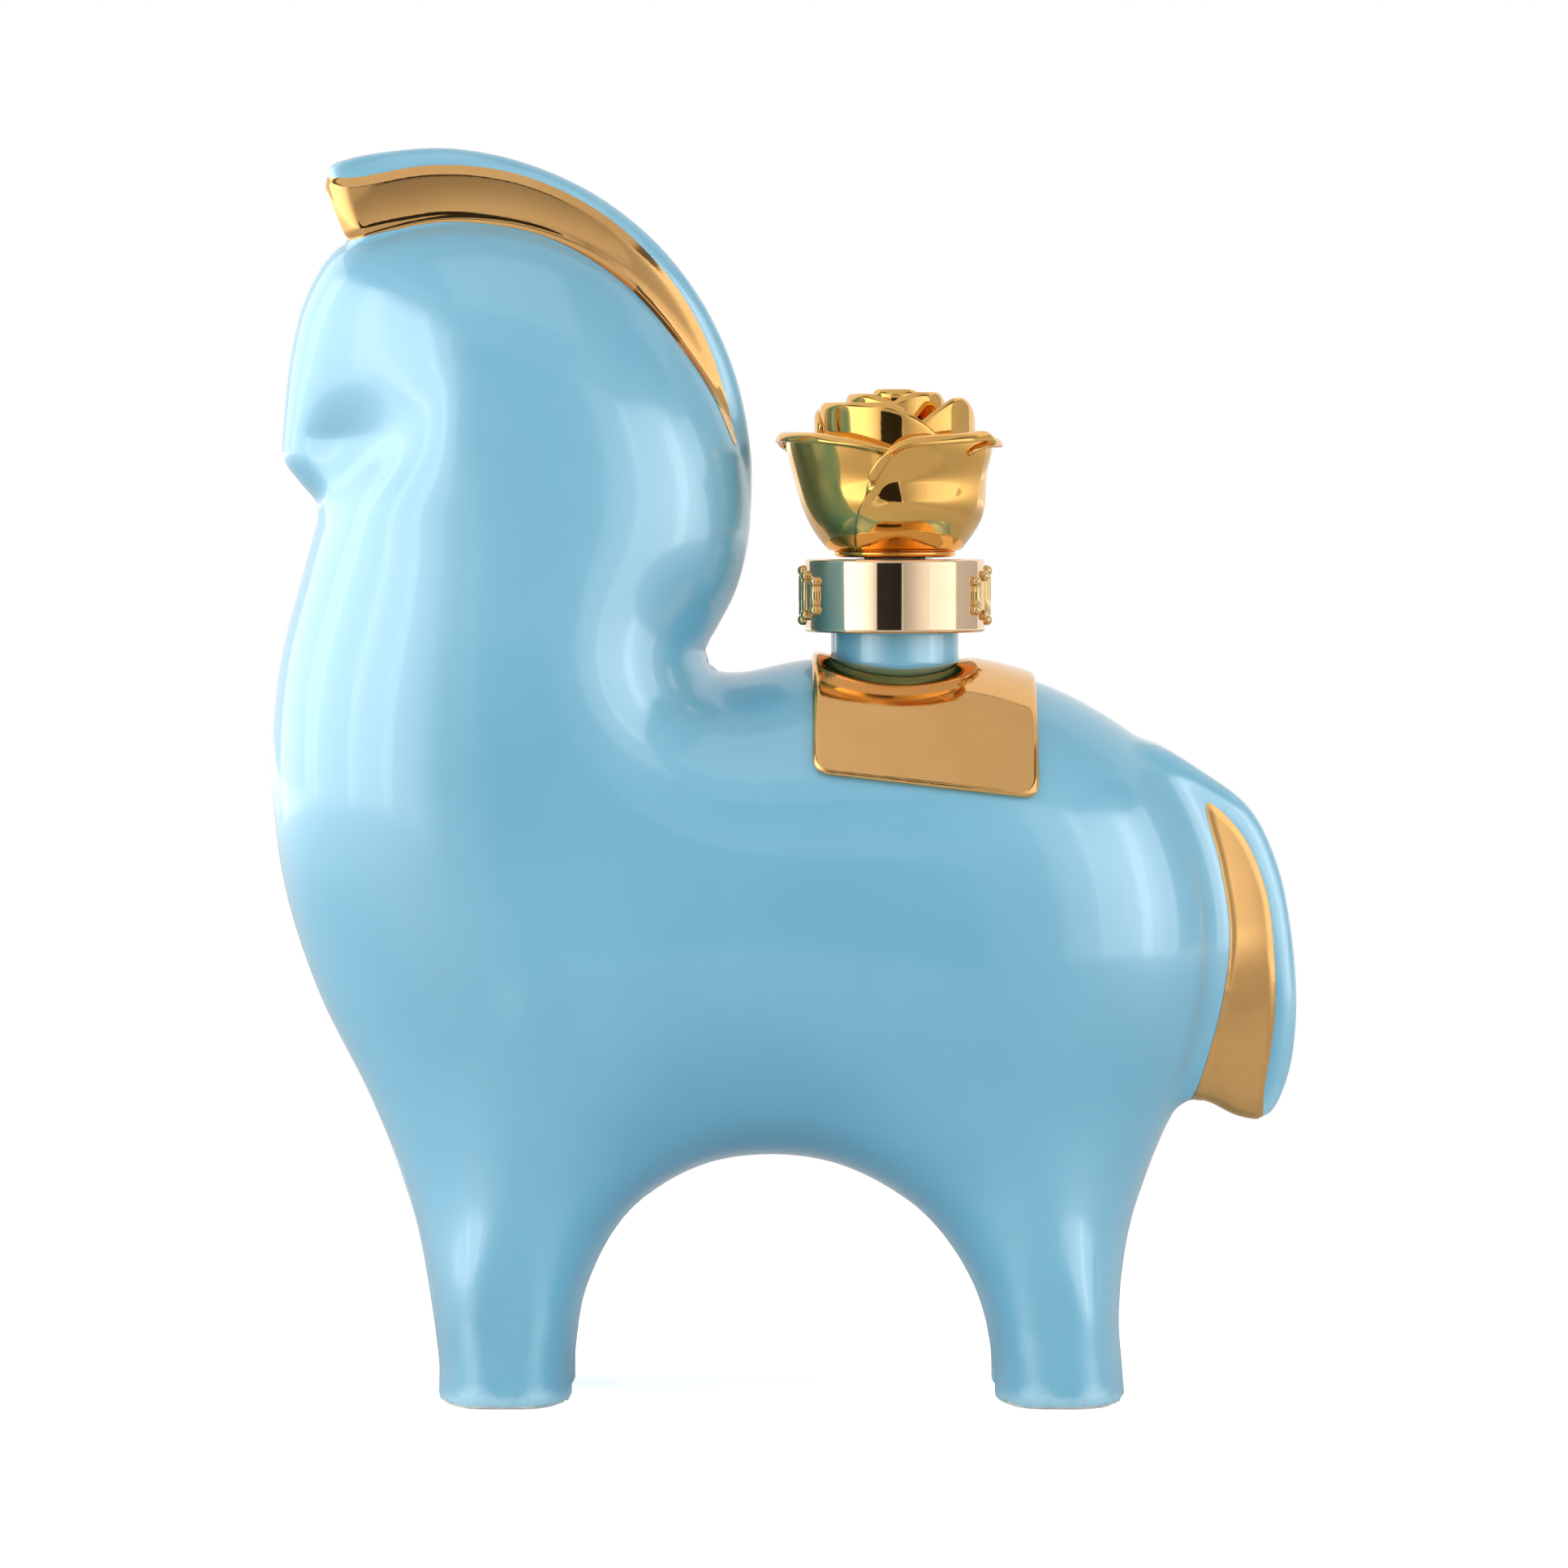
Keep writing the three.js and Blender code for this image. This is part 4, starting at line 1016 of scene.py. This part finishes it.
def sealMesh(order):
    bm = bmesh.new()
    ring = bmesh.ops.create_circle(bm, segments=20, radius=seals["section"] * mm)["verts"]
    bmesh.ops.rotate(bm, verts=ring, cent=(0, 0, 0), matrix=Matrix.Rotation(math.pi / 2, 3, "X"))
    bmesh.ops.translate(bm, vec=(seals["centre"] * mm, 0, 0), verts=ring)
    spinRound(bm, bm.verts[:] + bm.edges[:], 72)
    closeUp(bm, 0.005, sealHeight(order))
    return meshOf(bm)


addPiece("plug", plugMesh(), plugPlastic, "stopper", "plug_plastic", "plug_core")
for order, name in enumerate(seals["names"]):
    addPiece("seal_" + name, sealMesh(order), siliconeRubber, "seals", "silicone", "seal_ring_" + name)


# The rose: petals bent from flat sheets round the neck's axis. Angles are from the camera's side, to the
# right. A petal's left and right corners are (where the rim starts to fall, how far it falls, how suddenly)
rose = {
    "base": 144.5, "foot": 10.5, "fine": (32, 28), "ridgeFrom": 0.7, "cornerCurl": 0.15, "sharpAngle": 60,
    # foot ring as (out from the foot, up from the base), and the bowl inside as (radius, up from the base)
    "ring": [(-0.9, 0), (-0.3, 0.12), (0, 0.5), (0, 0.9), (-0.3, 1.2), (0, 1.5)],
    "bowl": [(15.2, 12.5), (15.2, 15.5), (14.4, 15.5), (13, 9.4), (0, 9)],
    "bellyAt": 152.9, "bellyReach": 3.4, "bellyTurn": 6, "bellySpread": 38, "parted": 0.08,
}
roseCup = {
    "profile": [
        (145.8, 10.5), (147, 11.6), (148.5, 12.7), (150, 13.6), (152, 14.65), (154, 15.4), (156, 15.9),
        (158, 16.3), (160, 16.85), (162, 17.4), (164, 17.75), (165.2, 17.9),
    ],
    "low": 145.8, "thick": 1.6, "roll": 0.9, "curl": 3.0, "lean": 0.35, "lipFrom": 0.72, "side": 1,
    "bulge": -0.5, "belly": 1.1, "freeFrom": 151, "freeTo": 160,
    "petals": [
        {"centre": -51, "span": 50, "top": 166, "tilt": -0.2, "lay": -0.6,
         "left": (0.7, 2.0, 2), "right": (0.0, 2.6, 1.6)},
        {"centre": 24, "span": 38, "top": 165.7, "tilt": 0.8, "lay": -0.3, "sweep": 26, "ridge": 1.0,
         "left": (0.25, 6.5, 2.6), "right": (0.8, 1.6, 2)},
        {"centre": 104, "span": 60, "top": 165.2, "lay": -0.2, "inset": 1.1, "left": (0.6, 2.0, 2),
         "right": (0.7, 3.0, 3)},
        {"centre": 205, "span": 62, "top": 165.4, "tilt": 0.3, "lay": -0.55,
         "left": (0.6, 4.0, 3), "right": (0.7, 3.0, 3)},
    ],
}
roseBud = {
    "profile": [(152, 9.2), (156, 11.4), (160, 12.3), (164, 12.6), (167, 12.68), (170, 12.62), (172.5, 12.4)],
    "low": 153.7, "thick": 1.5, "roll": 1.0, "curl": 1.0, "lean": 0.05, "lipFrom": 0.86, "side": -1,
    "bulge": 0.2, "belly": 0, "freeFrom": 153, "freeTo": 164,
    # the core as (radius, up from the low end of the petals)
    "core": [(0, -2.2), (3, -2.2), (3, 0), (8.8, 0.2), (9.6, 4), (9.6, 9), (6, 15), (0, 17)],
    "petals": [
        {"centre": -34, "span": 72, "top": 171.5, "lay": 0.5,
         "left": (0.55, 3.0, 2), "right": (0.36, 6.2, 1.4)},
        {"centre": 58, "span": 42, "top": 172.3, "lay": 0.5,
         "left": (0.15, 4.5, 1.3), "right": (0.1, 5.5, 1.6)},
        {"centre": 165, "span": 62, "top": 171.0, "lay": 0.5,
         "left": (0.4, 4.5, 1.5), "right": (0.5, 4.0, 2)},
        {"centre": -125, "span": 55, "top": 170.4, "lay": 0.6,
         "left": (0.4, 3.0, 1.5), "right": (0.5, 2.5, 2)},
        {"centre": -55, "span": 70, "top": 173.0, "lay": 0.4, "scale": 0.62,
         "left": (0.4, 2.2, 2), "right": (0.3, 2.6, 1.5)},
        {"centre": 42, "span": 62, "top": 173.3, "lay": 0.4, "scale": 0.60,
         "left": (0.2, 3.0, 1.5), "right": (0.3, 3.0, 2)},
        {"centre": 165, "span": 75, "top": 172.6, "lay": 0.4, "scale": 0.60,
         "left": (0.4, 2.6, 1.5), "right": (0.5, 2.6, 2)},
        {"centre": -10, "span": 115, "top": 173.8, "lay": 0.4, "scale": 0.27,
         "left": (0.4, 1.4, 2), "right": (0.4, 1.6, 2)},
        {"centre": 170, "span": 100, "top": 173.6, "lay": 0.4, "scale": 0.25,
         "left": (0.4, 1.4, 2), "right": (0.4, 1.6, 2)},
    ],
}


# how far the rim of a petal has fallen at a place across it
def rimFall(petal, across):
    start, fall, power = petal["left"] if across < 0 else petal["right"]
    return fall * (max(abs(across) - start, 0) / (1 - start)) ** power


# one petal: a sheet on the flower's profile that stands free higher up, and whose rim rolls over
def addPetal(bm, petal, flower, radiusAt):
    wide, high = rose["fine"]
    lean, lip, roll = flower["lean"], flower["lipFrom"], flower["roll"]
    for v in bmesh.ops.create_grid(bm, x_segments=wide, y_segments=high, size=1)["verts"]:
        across, up = v.co.x, (v.co.y + 1) / 2
        corner = rimFall(petal, across)
        rim = petal["top"] + petal.get("tilt", 0) * across - corner
        rim -= flower["thick"] / 2 + roll * (1 - math.sin(lean))
        height = blend(flower["low"], rim, min(up / lip, 1))
        free = blend(rose["parted"], 1, ramp(flower["freeFrom"], flower["freeTo"], height))
        edge = max(-across, 0)
        degrees = petal["centre"] + petal["span"] * across
        degrees -= petal.get("sweep", 0) * edge * edge * (1 - min(up / lip, 1))
        radius = radiusAt(height) * petal.get("scale", 1)
        radius += free * (petal["lay"] * across + flower["bulge"] * (1 - across * across))
        radius += free * (petal.get("ridge", 0) * ramp(rose["ridgeFrom"], 1, edge) - petal.get("inset", 0))
        rise = (height - rose["bellyAt"]) / rose["bellyReach"]
        aside = (degrees - rose["bellyTurn"]) / rose["bellySpread"]
        radius += flower["belly"] * math.exp(-rise * rise - aside * aside)
        turn = lean + max(up - lip, 0) / (1 - lip) * flower["curl"] / (1 + rose["cornerCurl"] * corner)
        radius += flower["side"] * roll * (math.cos(lean) - math.cos(turn))
        height += roll * (math.sin(turn) - math.sin(lean))
        angle = math.radians(degrees)
        v.co = Vector((radius * math.sin(angle), -radius * math.cos(angle), height)) * mm


# a flower's petals, each thickened on its own and smoothed
def petalsMesh(flower):
    heights, radii = np.array(flower["profile"]).T
    middle = heights.mean()
    curve = np.polyfit(heights - middle, radii, 5)
    bm = bmesh.new()
    for petal in flower["petals"]:
        addPetal(bm, petal, flower, lambda height: float(np.polyval(curve, height - middle)))
    mesh = meshFrom(bm, "petals")
    thicken = ("SOLIDIFY", {"thickness": flower["thick"] * mm, "offset": 0})
    return applied(mesh, thicken, ("SUBSURF", {"levels": 1, "render_levels": 1}))


# the petals round a turned core
def flowerMesh(flower, core):
    bm = bmesh.new()
    ring = [bm.verts.new((r * mm, 0, z * mm)) for r, z in core]
    loop = [bm.edges.new((a, b)) for a, b in zip(ring, ring[1:])]
    spinRound(bm, ring + loop, 96)
    bm.from_mesh(petalsMesh(flower))
    closeUp(bm, 0.003)
    return meshOf(bm, rose["sharpAngle"])


# the foot ring and the bowl that the outer petals grow from
def roseCupMesh():
    base, foot = rose["base"], rose["foot"]
    outer = [(radius, height) for height, radius in roseCup["profile"][1:6]]
    ring = [(foot + out, base + up) for out, up in rose["ring"]]
    bowl = [(radius, base + up) for radius, up in rose["bowl"]]
    return flowerMesh(roseCup, [(0, base), *ring, *outer, *bowl])


def roseBudMesh():
    return flowerMesh(roseBud, [(radius, roseBud["low"] + up) for radius, up in roseBud["core"]])


addPiece("rose_outer", roseCupMesh(), roseGold, "stopper", "rose_gold", "rose_cup")
addPiece("rose_heart", roseBudMesh(), roseGold, "stopper", "rose_gold", "rose_bud")
print("stopper made")


# the lamps light the glaze and the floor, and the gold shows only what it mirrors
def keepLampsOff(finishes):
    lit = bpy.data.collections.new("litByLamps")
    for obj in bpy.data.objects:
        if obj.type == "MESH" and not finishes & {slot.material for slot in obj.material_slots}:
            lit.objects.link(obj)
    for lamp in lamps:
        lamp.light_linking.receiver_collection = lit


keepLampsOff({firedGold, collarGold, ornamentGold, roseGold})
